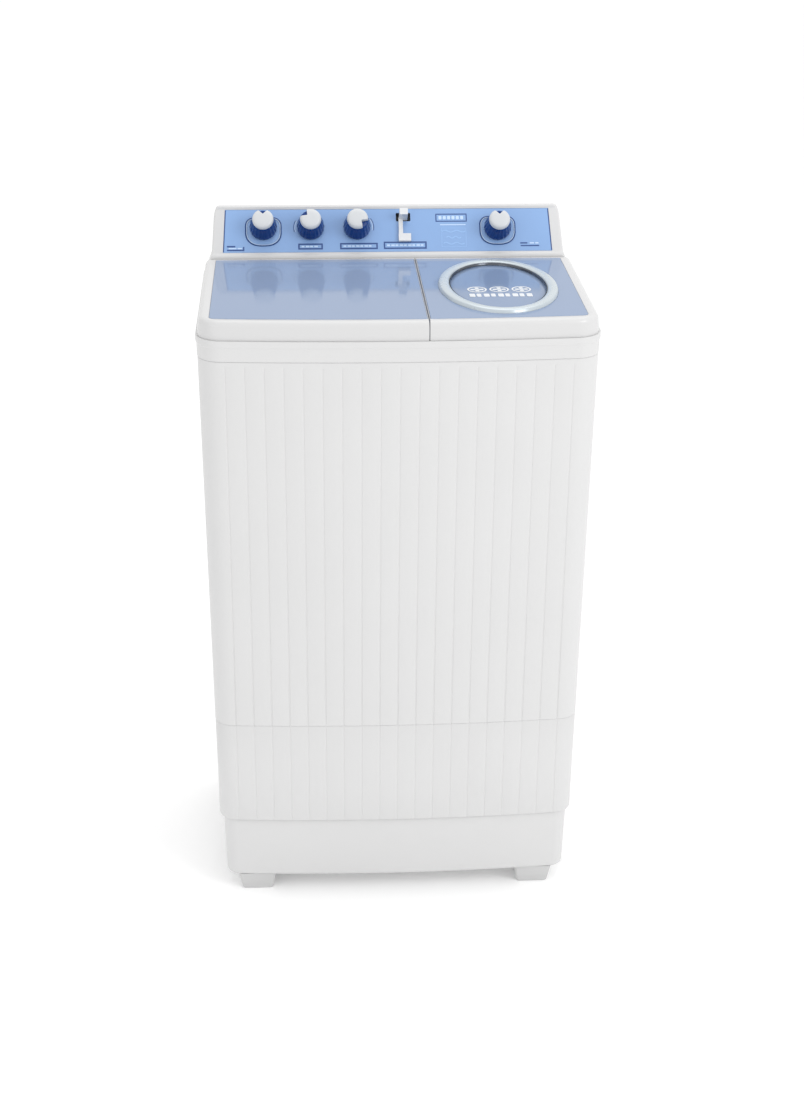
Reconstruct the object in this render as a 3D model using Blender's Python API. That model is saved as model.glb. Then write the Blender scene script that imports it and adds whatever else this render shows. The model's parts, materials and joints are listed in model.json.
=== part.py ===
"""Twin tub washing machine: wash tub on the left, spin tub on the right, console along the back.

Metres, +Z up. The front faces -Y, the feet stand on z = 0, and the origin is under the middle of the
whole box. Every object hangs from the empty "washer", which carries the body's own centre.
"""

from math import acos, atan2, cos, hypot, pi, radians, sin

import bmesh
import bpy
from mathutils import Matrix, Vector

# Body: half sizes at the rim, which is the widest place
RIM_HALF_W = 0.330
RIM_HALF_D = 0.230
CORNER_R = 0.045
FRONT_BOW = 0.011
BODY_DRAFT = 0.0108
WALL = 0.003
GAP = 0.0003
ROUND_STEPS = 24
SMALL_STEPS = 14

# Levels, from the floor up
FOOT_H = 0.026
FOOT_DROP = 0.010
STEP_Z = 0.149
SEAM_Z = 0.343
BAND_Z = 1.013
DECK_Z = 1.040
RIM_Z = 1.048
LID_Z = 1.079
BASE_FLOOR_Z = 0.031

# Grooves that divide the cabinet's faces into planks
GROOVE_PITCH = 0.0314
GROOVE_W = 0.0032
GROOVE_DEPTH = 0.0018
FRONT_GROOVES = 9
SIDE_GROOVES = 5
PLAIN_STRIP = 0.010
CABINET_SET_BACK = 0.0008
SKIRT_SET_BACK = 0.0012
LOUVRES = 8

# Lids
LID_GAP_X = 0.0465
LID_BACK_Y = 0.150
HINGE_Y = 0.133
HINGE_Z = 1.066
PIN_R = 0.003
PIN_HOLE_R = 0.0035
KNUCKLE_R = 0.006
LID_END_R = 0.0175
LID_END_X = 0.3165
PANEL_INSET = 0.0235

# Console
CONSOLE_FRONT_Y = 0.1555
FASCIA_LOW = (0.160, 1.0865)
FASCIA_HIGH = (0.211, 1.156)
FASCIA_HALF_W = 0.294
FASCIA_T = 0.002
CONSOLE_TOP_Z = 1.159
NOZZLE_OUT = 0.022
CENTRE_Y = (FRONT_BOW - NOZZLE_OUT) / 2

# Tubs
WASH_X, WASH_Y = -0.1345, -0.0435
WASH_HALF = (0.1595, 0.1515)
WASH_FLOOR_Z = 0.405
PULSATOR_FINS = 4
SPIN_X, SPIN_Y = 0.176, -0.029
SPIN_TUB_R = 0.118
SPIN_TUB_Z = 0.440
BASKET_R = 0.105
BASKET_Z = (0.500, 0.950)
DRUM_R = 0.042
SPRING_CIRCLE_R = 0.052

# Wash drive
BELT_Z = 0.225
BELT_H = 0.008
DRIVE_R = 0.085
MOTOR_PULLEY_R = 0.022
GROOVE_IN = 0.006
MOTOR_ANGLE = radians(40)
MOTOR_DISTANCE = 0.150
SHAFT_R = 0.006

# Spin lid ring and window
RING_X, RING_Y = 0.176, -0.037
RING_RX, RING_RY = 0.101, 0.157
RING_W = 0.0197
RING_TOP_Z = 1.0862

# Drain, water inlet, power cord's gland and spin brake
VALVE_X, VALVE_Y = -0.225, 0.045
OUTLET_X, OUTLET_Z = -0.225, 0.090
HOSE_R = 0.012
NOZZLE_X, NOZZLE_Z = -0.200, 1.110
GLAND_X, GLAND_Z = 0.235, 0.400
BRAKE_X, BRAKE_Y = SPIN_X + 0.060, SPIN_Y - 0.040

# Controls: their places along the fascia, and up its slope from its lower edge
KNOB_UP = 0.0485
SPIN_TIMER_UP = 0.0455
BEZEL_UP = 0.0495
LEVER_UP = 0.050
KNOB_STEM_R = 0.0045
KNOB_FLUTES = 12
WASH_TIMER_X = -0.222
WASH_MODE_X = -0.138
DRAIN_X = -0.055
LEVER_X = 0.028
SPIN_TIMER_X = 0.197
LEVER_SLOT = (-0.0130, 0.0095), (0.0130, 0.0255)

FASCIA_RISE = FASCIA_HIGH[1] - FASCIA_LOW[1]
FASCIA_RUN = FASCIA_HIGH[0] - FASCIA_LOW[0]
FASCIA_LEN = hypot(FASCIA_RISE, FASCIA_RUN)
FASCIA_TURN = atan2(FASCIA_RISE, FASCIA_RUN)
FASCIA_UP = Vector((0, cos(FASCIA_TURN), sin(FASCIA_TURN)))
MOTOR_X = WASH_X + MOTOR_DISTANCE * cos(MOTOR_ANGLE)
MOTOR_Y = WASH_Y + MOTOR_DISTANCE * sin(MOTOR_ANGLE)


# ---------------------------------------------------------------- helpers


def clear_scene():
    for obj in list(bpy.data.objects):
        bpy.data.objects.remove(obj, do_unlink=True)


def material(name, colour, roughness, metallic=0.0):
    """One Principled material, made once for each name."""
    if name in bpy.data.materials:
        return bpy.data.materials[name]
    made = bpy.data.materials.new(name)
    made.use_nodes = True
    shader = made.node_tree.nodes["Principled BSDF"]
    shader.inputs["Base Color"].default_value = (*colour, 1.0)
    shader.inputs["Roughness"].default_value = roughness
    shader.inputs["Metallic"].default_value = metallic
    return made


def white():
    return material("white_plastic", (0.80, 0.80, 0.79), 0.35)


def blue_panel():
    return material("blue_panel", (0.36, 0.44, 0.58), 0.12)


def steel():
    return material("steel", (0.62, 0.62, 0.63), 0.3, 1.0)


def grey_paint():
    return material("grey_paint", (0.18, 0.19, 0.20), 0.5)


def black_rubber():
    return material("black_rubber", (0.03, 0.03, 0.03), 0.8)


def inner_plastic():
    return material("inner_plastic", (0.72, 0.75, 0.76), 0.4)


def dark_blue():
    return material("knob_blue", (0.01, 0.03, 0.17), 0.15)


def chrome():
    return material("chrome", (0.80, 0.82, 0.83), 0.15, 1.0)


def empty(name, location, turn=0.0):
    made = bpy.data.objects.new(name, None)
    bpy.context.scene.collection.objects.link(made)
    made.location = location
    made.rotation_euler = (turn, 0, 0)
    if name != "washer":
        made.parent = bpy.data.objects["washer"]
    return made


def add_object(name, bm, mat, pivot=None, smooth=True):
    """Makes a node from a bmesh given in the washer's frame, or in the pivot's own frame."""
    bmesh.ops.recalc_face_normals(bm, faces=bm.faces)
    mesh = bpy.data.meshes.new(name)
    bm.to_mesh(mesh)
    bm.free()
    mesh.materials.append(mat)
    if smooth:
        mesh.shade_smooth()
        mesh.set_sharp_from_angle(angle=radians(35))
    made = bpy.data.objects.new(name, mesh)
    bpy.context.scene.collection.objects.link(made)
    made.parent = pivot or bpy.data.objects["washer"]
    return made


def skin(loops, closed):
    """Bridges loops of equal length with quads. A closed skin joins its last loop to its first."""
    bm = bmesh.new()
    rings = [[bm.verts.new(point) for point in loop] for loop in loops]
    pairs = list(zip(rings, rings[1:]))
    if closed:
        pairs.append((rings[-1], rings[0]))
    for low, high in pairs:
        for i in range(len(low)):
            k = (i + 1) % len(low)
            bm.faces.new((low[i], low[k], high[k], high[i]))
    if not closed:
        bm.faces.new(rings[0])
        bm.faces.new(rings[-1])
    return bm


def at(outline, z):
    """The outline's points lifted to one height."""
    return [(x, y, z) for x, y in outline]


def turned_mesh(profile, steps, centre=(0, 0)):
    """Spins a profile of (radius, z) round the vertical through centre. A profile that starts and
    ends on the axis is solid, and any other one is closed into a ring."""
    bm = bmesh.new()
    points = [bm.verts.new((centre[0] + r, centre[1], z)) for r, z in profile]
    edges = [bm.edges.new(pair) for pair in zip(points, points[1:])]
    if profile[0][0] > 0 or profile[-1][0] > 0:
        edges.append(bm.edges.new((points[-1], points[0])))
    bmesh.ops.spin(
        bm,
        geom=points + edges,
        cent=(*centre, 0),
        axis=(0, 0, 1),
        angle=2 * pi,
        steps=steps,
        use_merge=True,
    )
    bmesh.ops.remove_doubles(bm, verts=bm.verts, dist=1e-6)
    return bm


def cylinder_profile(radius, low, high):
    return [(0, low), (radius, low), (radius, high), (0, high)]


def tube_profile(inner, outer, low, high):
    return [(inner, low), (outer, low), (outer, high), (inner, high)]


def box_mesh(low, high):
    bm = bmesh.new()
    bmesh.ops.create_cube(bm, size=1)
    middle = [(a + b) / 2 for a, b in zip(low, high)]
    size = [b - a for a, b in zip(low, high)]
    bmesh.ops.scale(bm, vec=size, verts=bm.verts)
    bmesh.ops.translate(bm, vec=middle, verts=bm.verts)
    return bm


def merge(bm, other):
    """Adds another bmesh's shapes to this one, as separate shells."""
    mesh = bpy.data.meshes.new("merge")
    other.to_mesh(mesh)
    other.free()
    bm.from_mesh(mesh)
    bpy.data.meshes.remove(mesh)
    return bm


def helper(name, bm, pivot=None):
    """A cutter or a piece to be joined: the washer itself doesn't hold it."""
    made = add_object(name, bm, white(), pivot)
    made.hide_render = True
    made.display_type = "WIRE"
    return made


def boolean(obj, operation, bm, name):
    modifier = obj.modifiers.new(name, "BOOLEAN")
    modifier.operation = operation
    modifier.object = helper(f"{obj.name}_{name}", bm, obj.parent)


def cut(obj, bm, name):
    boolean(obj, "DIFFERENCE", bm, name)


def join(obj, bm, name):
    boolean(obj, "UNION", bm, name)


def bevel(obj, width, segments=1):
    modifier = obj.modifiers.new("soft_edges", "BEVEL")
    modifier.width = width
    modifier.segments = segments
    modifier.limit_method = "ANGLE"
    modifier.angle_limit = radians(40)


def arc(centre, radius, start, end, steps):
    return [
        (
            centre[0] + radius * cos(start + (end - start) * i / steps),
            centre[1] + radius * sin(start + (end - start) * i / steps),
        )
        for i in range(steps + 1)
    ]


def rounded_rect(centre, half, radius, steps=4):
    """Anticlockwise from above, from the front left corner."""
    points = []
    for i, (sx, sy) in enumerate(((-1, -1), (1, -1), (1, 1), (-1, 1))):
        middle = (centre[0] + sx * (half[0] - radius), centre[1] + sy * (half[1] - radius))
        points += arc(middle, radius, pi + i * pi / 2, pi * 1.5 + i * pi / 2, steps)
    return points


def ellipse(centre, rx, ry, steps=32):
    turns = [2 * pi * i / steps for i in range(steps)]
    return [(centre[0] + rx * cos(turn), centre[1] + ry * sin(turn)) for turn in turns]


def along_x(bm, x_from, centre):
    """Turns a mesh made round Z so that it lies along X, starting at x_from, round centre (y, z)."""
    place = Matrix.Translation((x_from, *centre))
    bmesh.ops.transform(bm, matrix=place @ Matrix.Rotation(pi / 2, 4, "Y"), verts=bm.verts)
    return bm


def along_y(bm, y_from, centre):
    """Turns a mesh made round Z so that it lies along +Y, starting at y_from, round centre (x, z)."""
    place = Matrix.Translation((centre[0], y_from, centre[1]))
    bmesh.ops.transform(bm, matrix=place @ Matrix.Rotation(-pi / 2, 4, "X"), verts=bm.verts)
    return bm


# ---------------------------------------------------------------- body outline


def front_y(x, half_w, half_d, radius):
    return -half_d - FRONT_BOW * (1 - (x / (half_w - radius)) ** 2)


def body_outline(inset, groove=0.0, ribbed=False):
    """The body's plan outline, anticlockwise from above. Every section of a ribbed piece has the
    grooves' points, so that a plain section meets a grooved one point to point."""
    half_w, half_d = RIM_HALF_W - inset, RIM_HALF_D - inset
    radius = CORNER_R - inset
    straight_x, straight_y = half_w - radius, half_d - radius
    grooves = (-GROOVE_W / 2, 0.0), (0.0, groove), (GROOVE_W / 2, 0.0)

    def front():
        if not ribbed:
            places = [straight_x * part / 3 for part in (-2, -1, 0, 1, 2)]
            return [(x, front_y(x, half_w, half_d, radius)) for x in places]
        return [
            (k * GROOVE_PITCH + dx, front_y(k * GROOVE_PITCH + dx, half_w, half_d, radius) + depth)
            for k in range(-FRONT_GROOVES, FRONT_GROOVES + 1)
            for dx, depth in grooves
        ]

    def side():
        if not ribbed:
            return []
        return [
            (half_w - depth, k * GROOVE_PITCH + dy)
            for k in range(-SIDE_GROOVES, SIDE_GROOVES + 1)
            for dy, depth in grooves
        ]

    steps = 5
    points = arc((-straight_x, -straight_y), radius, pi, 1.5 * pi, steps) + front()
    points += arc((straight_x, -straight_y), radius, 1.5 * pi, 2 * pi, steps) + side()
    points += arc((straight_x, straight_y), radius, 0, 0.5 * pi, steps)
    points += arc((-straight_x, straight_y), radius, 0.5 * pi, pi, steps)
    points += [(-x, y) for x, y in reversed(side())]
    return points


def body_inset(z):
    return 0.0017 + (BAND_Z - z) * BODY_DRAFT


def body_ring(name, sections, ribbed):
    """A ring that follows the body's outline, through sections of (inset, z, groove depth)."""
    loops = [at(body_outline(inset, groove, ribbed), z) for inset, z, groove in sections]
    return add_object(name, skin(loops, True), white())


# ---------------------------------------------------------------- body


def make_base_tray():
    """The plinth: a tray with a solid floor, set in from the cabinet above its step."""
    low, high = 0.0225, 0.0190
    loops = [
        at(body_outline(low + 0.004), FOOT_H),
        at(body_outline(low), FOOT_H + 0.006),
        at(body_outline(high), STEP_Z),
        at(body_outline(high), STEP_Z + 0.012),
        at(body_outline(high + WALL), STEP_Z + 0.012),
        at(body_outline(high + WALL), STEP_Z),
        at(body_outline(low + WALL + 0.001), BASE_FLOOR_Z),
    ]
    tray = add_object("base_tray", skin(loops, False), white())
    hole = turned_mesh(cylinder_profile(0.0165, -0.03, 0.03), 20)
    cut(tray, along_y(hole, RIM_HALF_D - 0.02, (OUTLET_X, OUTLET_Z)), "outlet_hole")


def make_feet():
    """Trapezoid blocks under the plinth's corners."""
    for name, sx, sy in (
        ("foot_front_left", -1, -1),
        ("foot_front_right", 1, -1),
        ("foot_rear_left", -1, 1),
        ("foot_rear_right", 1, 1),
    ):
        centre = (sx * 0.2525, sy * 0.172)
        loops = [
            at(rounded_rect(centre, (0.0285, 0.0265), 0.005, 2), -FOOT_DROP),
            at(rounded_rect(centre, (0.0345, 0.0325), 0.005, 2), FOOT_H - GAP),
        ]
        add_object(name, skin(loops, False), white())


def make_lower_skirt():
    """The ribbed band below the cabinet's horizontal seam."""
    top, low = SEAM_Z - GAP, STEP_Z
    sections = [
        (body_inset(low) + SKIRT_SET_BACK, low, GROOVE_DEPTH),
        (body_inset(top) + SKIRT_SET_BACK, top, GROOVE_DEPTH),
        (body_inset(top) + WALL + GROOVE_DEPTH, top, 0.0),
        (body_inset(low) + WALL + GROOVE_DEPTH, low, 0.0),
    ]
    body_ring("lower_skirt", sections, True)


def make_cabinet_shell():
    """The tall ribbed body, open at the back behind the service cover."""
    top, low = BAND_Z - GAP, SEAM_Z
    high = body_inset(top) + CABINET_SET_BACK
    sections = [
        (body_inset(low) + CABINET_SET_BACK, low, GROOVE_DEPTH),
        (high, top - PLAIN_STRIP, GROOVE_DEPTH),
        (high, top - PLAIN_STRIP + 0.002, 0.0),
        (high, top, 0.0),
        (body_inset(top) + WALL + GROOVE_DEPTH, top, 0.0),
        (body_inset(low) + WALL + GROOVE_DEPTH, low, 0.0),
    ]
    shell = body_ring("cabinet_shell", sections, True)
    window = box_mesh((-0.19, RIM_HALF_D - 0.03, 0.38), (0.19, RIM_HALF_D + 0.02, 0.72))
    cut(shell, window, "access_window")
    cut(shell, gland_hole(), "gland_hole")


def gland_hole():
    hole = turned_mesh(cylinder_profile(0.0085, -0.03, 0.03), 16)
    return along_y(hole, RIM_HALF_D - 0.01, (GLAND_X, GLAND_Z))


def cabinet_back(z):
    """The y of the cabinet's plain rear face at a height."""
    return RIM_HALF_D - body_inset(z) - CABINET_SET_BACK


def make_rear_cover():
    """A flat plate over the access window, with louvres cut through it."""
    cover = add_object("rear_cover", rear_cover_mesh(), white())
    louvres = bmesh.new()
    for i in range(LOUVRES):
        z = 0.42 + i * 0.016
        merge(louvres, box_mesh((-0.10, RIM_HALF_D - 0.05, z), (0.10, RIM_HALF_D + 0.03, z + 0.005)))
    cut(cover, louvres, "louvres")


def rear_cover_mesh():
    """The cover leans with the cabinet's draft, and stands its own thickness proud of it."""
    half, low, high = 0.205, 0.362, 0.738
    thick = 0.0026

    def face(shrink, out):
        size = (half - shrink, (high - low) / 2 - shrink)
        corners = rounded_rect((0, (low + high) / 2), size, 0.012, 3)
        return [(x, cabinet_back(z) + out, z) for x, z in corners]

    return skin([face(0, GAP), face(0, GAP + thick - 0.001), face(0.001, GAP + thick)], False)


def make_top_frame():
    """The plain band under the lids, with the deck that both tubs hang from."""
    loops = [
        at(body_outline(0.0017), BAND_Z),
        at(body_outline(0.0015), RIM_Z - 0.013),
        at(body_outline(0.0), RIM_Z - 0.010),
        at(body_outline(0.0), RIM_Z - 0.0015),
        at(body_outline(0.0015), RIM_Z - GAP),
        at(body_outline(0.0015 + WALL), RIM_Z - GAP),
        at(body_outline(0.0015 + WALL), DECK_Z),
    ]
    frame = add_object("top_frame", skin(loops, False), white())
    inside = body_outline(0.0017 + WALL)
    cut(frame, skin([at(inside, BAND_Z - 0.01), at(inside, DECK_Z - 0.004)], False), "underside")
    room = WALL + 0.001
    wash = rounded_rect((WASH_X, WASH_Y), (WASH_HALF[0] + room, WASH_HALF[1] + room), 0.053)
    cut(frame, skin([at(wash, DECK_Z - 0.02), at(wash, DECK_Z + 0.02)], False), "wash_mouth")
    spin = cylinder_profile(SPIN_TUB_R + room, DECK_Z - 0.02, DECK_Z + 0.02)
    cut(frame, turned_mesh(spin, ROUND_STEPS, (SPIN_X, SPIN_Y)), "spin_mouth")
    hinge = (HINGE_Y, HINGE_Z)
    for i, x in enumerate(lug_places()):
        join(frame, tab_mesh(x - 0.004, x + 0.004, hinge, KNUCKLE_R, DECK_Z - 0.002), f"lug_{i}")
    for i, (_, low, high) in enumerate(pins()):
        hole = turned_mesh(cylinder_profile(PIN_HOLE_R, 0, high - low + 0.01), 16)
        cut(frame, along_x(hole, low - 0.005, hinge), f"pin_hole_{i}")


def pins():
    """The hinge pins of the two lids, as (name, x from, x to)."""
    return ("wash_lid_pin", -0.300, 0.030), ("spin_lid_pin", 0.063, 0.300)


def lug_places():
    return [x for _, low, high in pins() for x in (low + 0.016, high - 0.016)]


def knuckle_places(low, high):
    return low + 0.032, high - 0.032


def tab_mesh(low, high, centre, radius, reach_z):
    """A tab from x low to high: round about the centre (y, z), and straight up or down to reach_z."""
    y, z = centre
    start = 0 if reach_z < z else pi
    rounded = arc((y, z), radius, start, start + pi, 8)
    outline = rounded + [(rounded[-1][0], reach_z), (rounded[0][0], reach_z)]
    return skin([[(x, py, pz) for py, pz in outline] for x in (low, high)], False)


# ---------------------------------------------------------------- lids


def lid_outline(side, edge, gap, back):
    """A lid's plan outline. side is -1 for the wash lid and 1 for the spin lid, edge insets the
    outer edges, gap the edge beside the other lid, and back the rear edge."""
    half_w, half_d = RIM_HALF_W - edge, RIM_HALF_D - edge
    radius = CORNER_R - edge
    inner = side * LID_GAP_X + gap
    straight = half_w - radius
    fronts = [inner + (straight - inner) * i / 5 for i in range(5)]
    points = [(inner, LID_BACK_Y - back)]
    points += [(x, front_y(x, half_w, half_d, radius)) for x in fronts]
    points += arc((straight, -half_d + radius), radius, -pi / 2, 0, 5)
    points.append((half_w, LID_BACK_Y - back))
    return [(side * x, y) for x, y in points]


def make_lid_frame(name, side, pivot, pin):
    """A shallow moulded cover: front and side aprons, a raised border, and a recess for its panel."""
    loops = [
        at(lid_outline(side, 0.0095, 0.0045, 0.003), LID_Z - 0.0055),
        at(lid_outline(side, 0.0062, 0.0040, 0.003), RIM_Z + GAP),
        at(lid_outline(side, 0.0030, 0.0010, 0.0), RIM_Z + GAP),
        at(lid_outline(side, 0.0050, 0.0010, 0.0), LID_Z - 0.009),
        at(lid_outline(side, 0.0075, 0.0010, 0.0), LID_Z - 0.003),
        at(lid_outline(side, 0.0120, 0.0018, 0.001), LID_Z),
        at(lid_outline(side, PANEL_INSET, 0.0030, 0.005), LID_Z),
        at(lid_outline(side, PANEL_INSET, 0.0030, 0.005), LID_Z - 0.0025),
    ]
    lid = add_object(name, lid_local(skin(loops, False)), white(), pivot)
    ceiling = LID_Z - 0.0055 - HINGE_Z
    wall = sorted((LID_GAP_X - side * 0.01, side * (LID_END_X + 0.002)))
    cut(lid, box_mesh((wall[0], -0.006, -0.03), (wall[1], 0.05, ceiling)), "rear_wall")
    cut(lid, end_mesh(side), "rounded_end")
    for i, x in enumerate(knuckle_places(*pin)):
        join(lid, tab_mesh(x - 0.006, x + 0.006, (0, 0), KNUCKLE_R, ceiling + 0.001), f"knuckle_{i}")
    hole = turned_mesh(cylinder_profile(PIN_HOLE_R, 0, pin[1] - pin[0] + 0.01), 16)
    cut(lid, along_x(hole, pin[0] - 0.005, (0, 0)), "pin_hole")
    return lid


def end_mesh(side):
    """What a lid's side wall loses behind the hinge, so that its lower corner turns clear of the rim."""
    rounded = arc((0, 0), LID_END_R, -pi / 2, 0, 8)
    outline = [(0, -0.03)] + rounded + [(0.05, 0), (0.05, -0.03)]
    return skin([[(side * x, y, z) for y, z in outline] for x in (LID_END_X, 0.4)], False)


def make_lid_panel(name, side, pivot):
    outline = lid_outline(side, PANEL_INSET + GAP, 0.0033, 0.0053)
    bm = skin([at(outline, LID_Z - 0.0025 + GAP), at(outline, LID_Z + 0.0002)], False)
    return add_object(name, lid_local(bm), blue_panel(), pivot, smooth=False)


def lid_local(bm):
    """Moves a mesh from the washer's frame into the lids' frame, which starts on the hinge line."""
    bmesh.ops.translate(bm, vec=(0, -HINGE_Y, -HINGE_Z), verts=bm.verts)
    return bm


def oval(inset, z):
    return at(ellipse((RING_X, RING_Y), RING_RX - inset, RING_RY - inset), z)


def make_ring_and_window(pivot):
    """The raised oval ring, and the window inside it."""
    base = LID_Z - 0.0025 + GAP
    profile = (
        (0.0, base),
        (0.0, RING_TOP_Z - 0.006),
        (0.0035, RING_TOP_Z - 0.0015),
        (0.0095, RING_TOP_Z),
        (0.0160, RING_TOP_Z - 0.0015),
        (RING_W, RING_TOP_Z - 0.006),
        (RING_W, base),
    )
    ring = skin([oval(inset, z) for inset, z in profile], True)
    add_object("spin_lid_ring", lid_local(ring), chrome(), pivot)
    window = skin([oval(RING_W + GAP, base), oval(RING_W + GAP, base + 0.002)], False)
    add_object("spin_window", lid_local(window), blue_panel(), pivot, smooth=False)


def make_lids():
    wash_name, wash_low, wash_high = pins()[0]
    spin_name, spin_low, spin_high = pins()[1]
    wash_hinge = empty("wash_lid_hinge", (0, HINGE_Y, HINGE_Z))
    make_lid_frame("wash_lid_frame", -1, wash_hinge, (wash_low, wash_high))
    make_lid_panel("wash_lid_panel", -1, wash_hinge)
    spin_hinge = empty("spin_lid_hinge", (0, HINGE_Y, HINGE_Z))
    spin_frame = make_lid_frame("spin_lid_frame", 1, spin_hinge, (spin_low, spin_high))
    cut(spin_frame, lid_local(skin([oval(0.028, 1.06), oval(0.028, 1.09)], False)), "sight_hole")
    spin_panel = make_lid_panel("spin_lid_panel", 1, spin_hinge)
    cut(spin_panel, lid_local(skin([oval(-GAP, 1.06), oval(-GAP, 1.09)], False)), "ring_hole")
    make_ring_and_window(spin_hinge)
    for name, low, high in pins():
        rod = along_x(turned_mesh(cylinder_profile(PIN_R, 0, high - low), 12), low, (HINGE_Y, HINGE_Z))
        add_object(name, rod, steel())


# ---------------------------------------------------------------- console


def console_section(half_w, front, back, z, radius):
    """A section with small front corners and the body's own large rear corners."""
    small = 0.004
    points = arc((-half_w + small, front + small), small, pi, 1.5 * pi, 2)
    points += arc((half_w - small, front + small), small, 1.5 * pi, 2 * pi, 2)
    points += arc((half_w - radius, back - radius), radius, 0, 0.5 * pi, 5)
    points += arc((-half_w + radius, back - radius), radius, 0.5 * pi, pi, 5)
    return at(points, z)


def slope_y(z):
    """The fascia plane's y at a height."""
    return FASCIA_LOW[0] + (z - FASCIA_LOW[1]) * FASCIA_RUN / FASCIA_RISE


def console_loops(shrink):
    """Sections from the rim up to the console's ridge, or the lower ones drawn in for its inside."""
    low_radius = CORNER_R - shrink
    front = CONSOLE_FRONT_Y + shrink
    slope = shrink * 2.2
    rows = (
        (0.3260, front, 0.2285, RIM_Z + GAP - 2 * shrink, low_radius),
        (0.3215, front, 0.2280, 1.0680, low_radius - 0.004),
        (0.3160, front, 0.2275, 1.0810, low_radius - 0.010),
        (0.3140, slope_y(1.0865) + slope, 0.2270, 1.0865, 0.024 - shrink),
        (0.3115, slope_y(1.1200) + slope, 0.2265, 1.1200, 0.016 - shrink),
        (0.3095, slope_y(1.1450) + slope, 0.2260, 1.1450, 0.010 - shrink),
        (0.3065, slope_y(1.1545) + slope, 0.2245, 1.1545, 0.0065),
        (0.3015, slope_y(1.1570) + slope, 0.2215, CONSOLE_TOP_Z, 0.0042),
    )
    if shrink > 0:
        rows = rows[:6]
    return [console_section(half - shrink, y0, back - shrink, z, r) for half, y0, back, z, r in rows]


def fascia_frame(bm):
    """Moves a mesh made flat at the fascia's lower middle, with Y up its slope and Z out of it."""
    place = Matrix.Translation((0, *FASCIA_LOW)) @ Matrix.Rotation(FASCIA_TURN, 4, "X")
    bmesh.ops.transform(bm, matrix=place, verts=bm.verts)
    return bm


def fascia_outline(shrink):
    low, high = FASCIA_HALF_W - shrink, FASCIA_HALF_W - 0.004 - shrink
    bottom, top = 0.002 + shrink, FASCIA_LEN - 0.003 - shrink
    return [(-low, bottom), (low, bottom), (high, top), (-high, top)]


def control_places():
    """Each turned control's place across and up the fascia."""
    left = [(x, KNOB_UP) for x in (WASH_TIMER_X, WASH_MODE_X, DRAIN_X)]
    return [*left, (SPIN_TIMER_X, SPIN_TIMER_UP)]


def shaft_holes():
    holes = bmesh.new()
    for place in control_places():
        merge(holes, turned_mesh(cylinder_profile(0.0055, -0.02, 0.01), 16, place))
    (left, low), (right, high) = LEVER_SLOT
    corners = (LEVER_X + left, LEVER_UP + low, -0.02), (LEVER_X + right, LEVER_UP + high, 0.01)
    merge(holes, box_mesh(*corners))
    return fascia_frame(holes)


def make_console():
    """The hollow housing along the back, and the fascia let into its sloping front."""
    housing = add_object("console_housing", skin(console_loops(0.0), False), white())
    cut(housing, skin(console_loops(WALL), False), "inside")
    seat = skin([at(fascia_outline(-GAP), -FASCIA_T - GAP), at(fascia_outline(-GAP), 0.02)], False)
    cut(housing, fascia_frame(seat), "fascia_seat")
    cut(housing, shaft_holes(), "shaft_holes")
    nozzle = turned_mesh(cylinder_profile(0.0095, -0.02, 0.02), 16)
    cut(housing, along_y(nozzle, 0.225, (NOZZLE_X, NOZZLE_Z)), "nozzle_hole")

    plate = skin([at(fascia_outline(0), -FASCIA_T), at(fascia_outline(0), 0)], False)
    blue = material("fascia_blue", (0.27, 0.42, 0.69), 0.25)
    fascia = add_object("fascia_panel", fascia_frame(plate), blue, smooth=False)
    cut(fascia, shaft_holes(), "shaft_holes")


# ---------------------------------------------------------------- controls


def knob_pivot(name, x, up=KNOB_UP):
    """An axis out of the fascia, at x across it and up its slope."""
    place = Vector((0, *FASCIA_LOW)) + FASCIA_UP * up
    return empty(name, (x, place.y, place.z), FASCIA_TURN)


def fluted(radius, depth, flutes):
    """A circle whose edge is cut by shallow flutes."""
    points = []
    for i in range(flutes * 2):
        reach, turn = radius - depth * (i % 2), pi * i / flutes
        points.append((reach * cos(turn), reach * sin(turn)))
    return points


def make_knob(label, x, pointer_turn, up=KNOB_UP):
    """A dark skirt with flutes on a stem, and a white grip with a pointer notch on top of it."""
    pivot = knob_pivot(f"{label}_axis", x, up)
    stem = [at(fluted(KNOB_STEM_R, 0, KNOB_FLUTES), z) for z in (-0.014, 0.0015)]
    skirt = ((0.0238, 0.0015), (0.0247, 0.006), (0.0222, 0.020), (0.0186, 0.0360))
    loops = stem + [at(fluted(radius, 0.0008, KNOB_FLUTES), z) for radius, z in skirt]
    add_object(f"{label}_knob", skin(loops, False), dark_blue(), pivot)

    profile = [(0.0, 0.0363), (0.0178, 0.0363), (0.0188, 0.0385), (0.0183, 0.0415), (0.0150, 0.0448)]
    grip = add_object(f"{label}_grip", turned_mesh(profile + [(0.0, 0.046)], 20), white(), pivot)
    corners = ((-0.0105, 0.022), (0.0105, 0.022), (0.0, 0.0080))
    notch = skin([at(corners, z) for z in (0.0350, 0.050)], False)
    bmesh.ops.rotate(notch, matrix=Matrix.Rotation(pointer_turn, 3, "Z"), verts=notch.verts)
    cut(grip, notch, "pointer_notch")


def bezel_outline(grow):
    """Round below, square above: the border round each timer knob."""
    half, top = 0.0316 + grow, 0.014 + grow
    turns = [pi + pi * i / 14 for i in range(15)]
    return [(half, top), (-half, top)] + [(half * cos(a), -0.0075 + half * 0.88 * sin(a)) for a in turns]


def make_bezel(label, x):
    pivot = knob_pivot(f"{label}_bezel_place", x, BEZEL_UP)
    loops = [
        at(bezel_outline(0.0), GAP),
        at(bezel_outline(0.0), 0.0013),
        at(bezel_outline(-0.0022), 0.0013),
        at(bezel_outline(-0.0022), GAP),
    ]
    add_object(f"{label}_bezel", skin(loops, True), chrome(), pivot)


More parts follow.
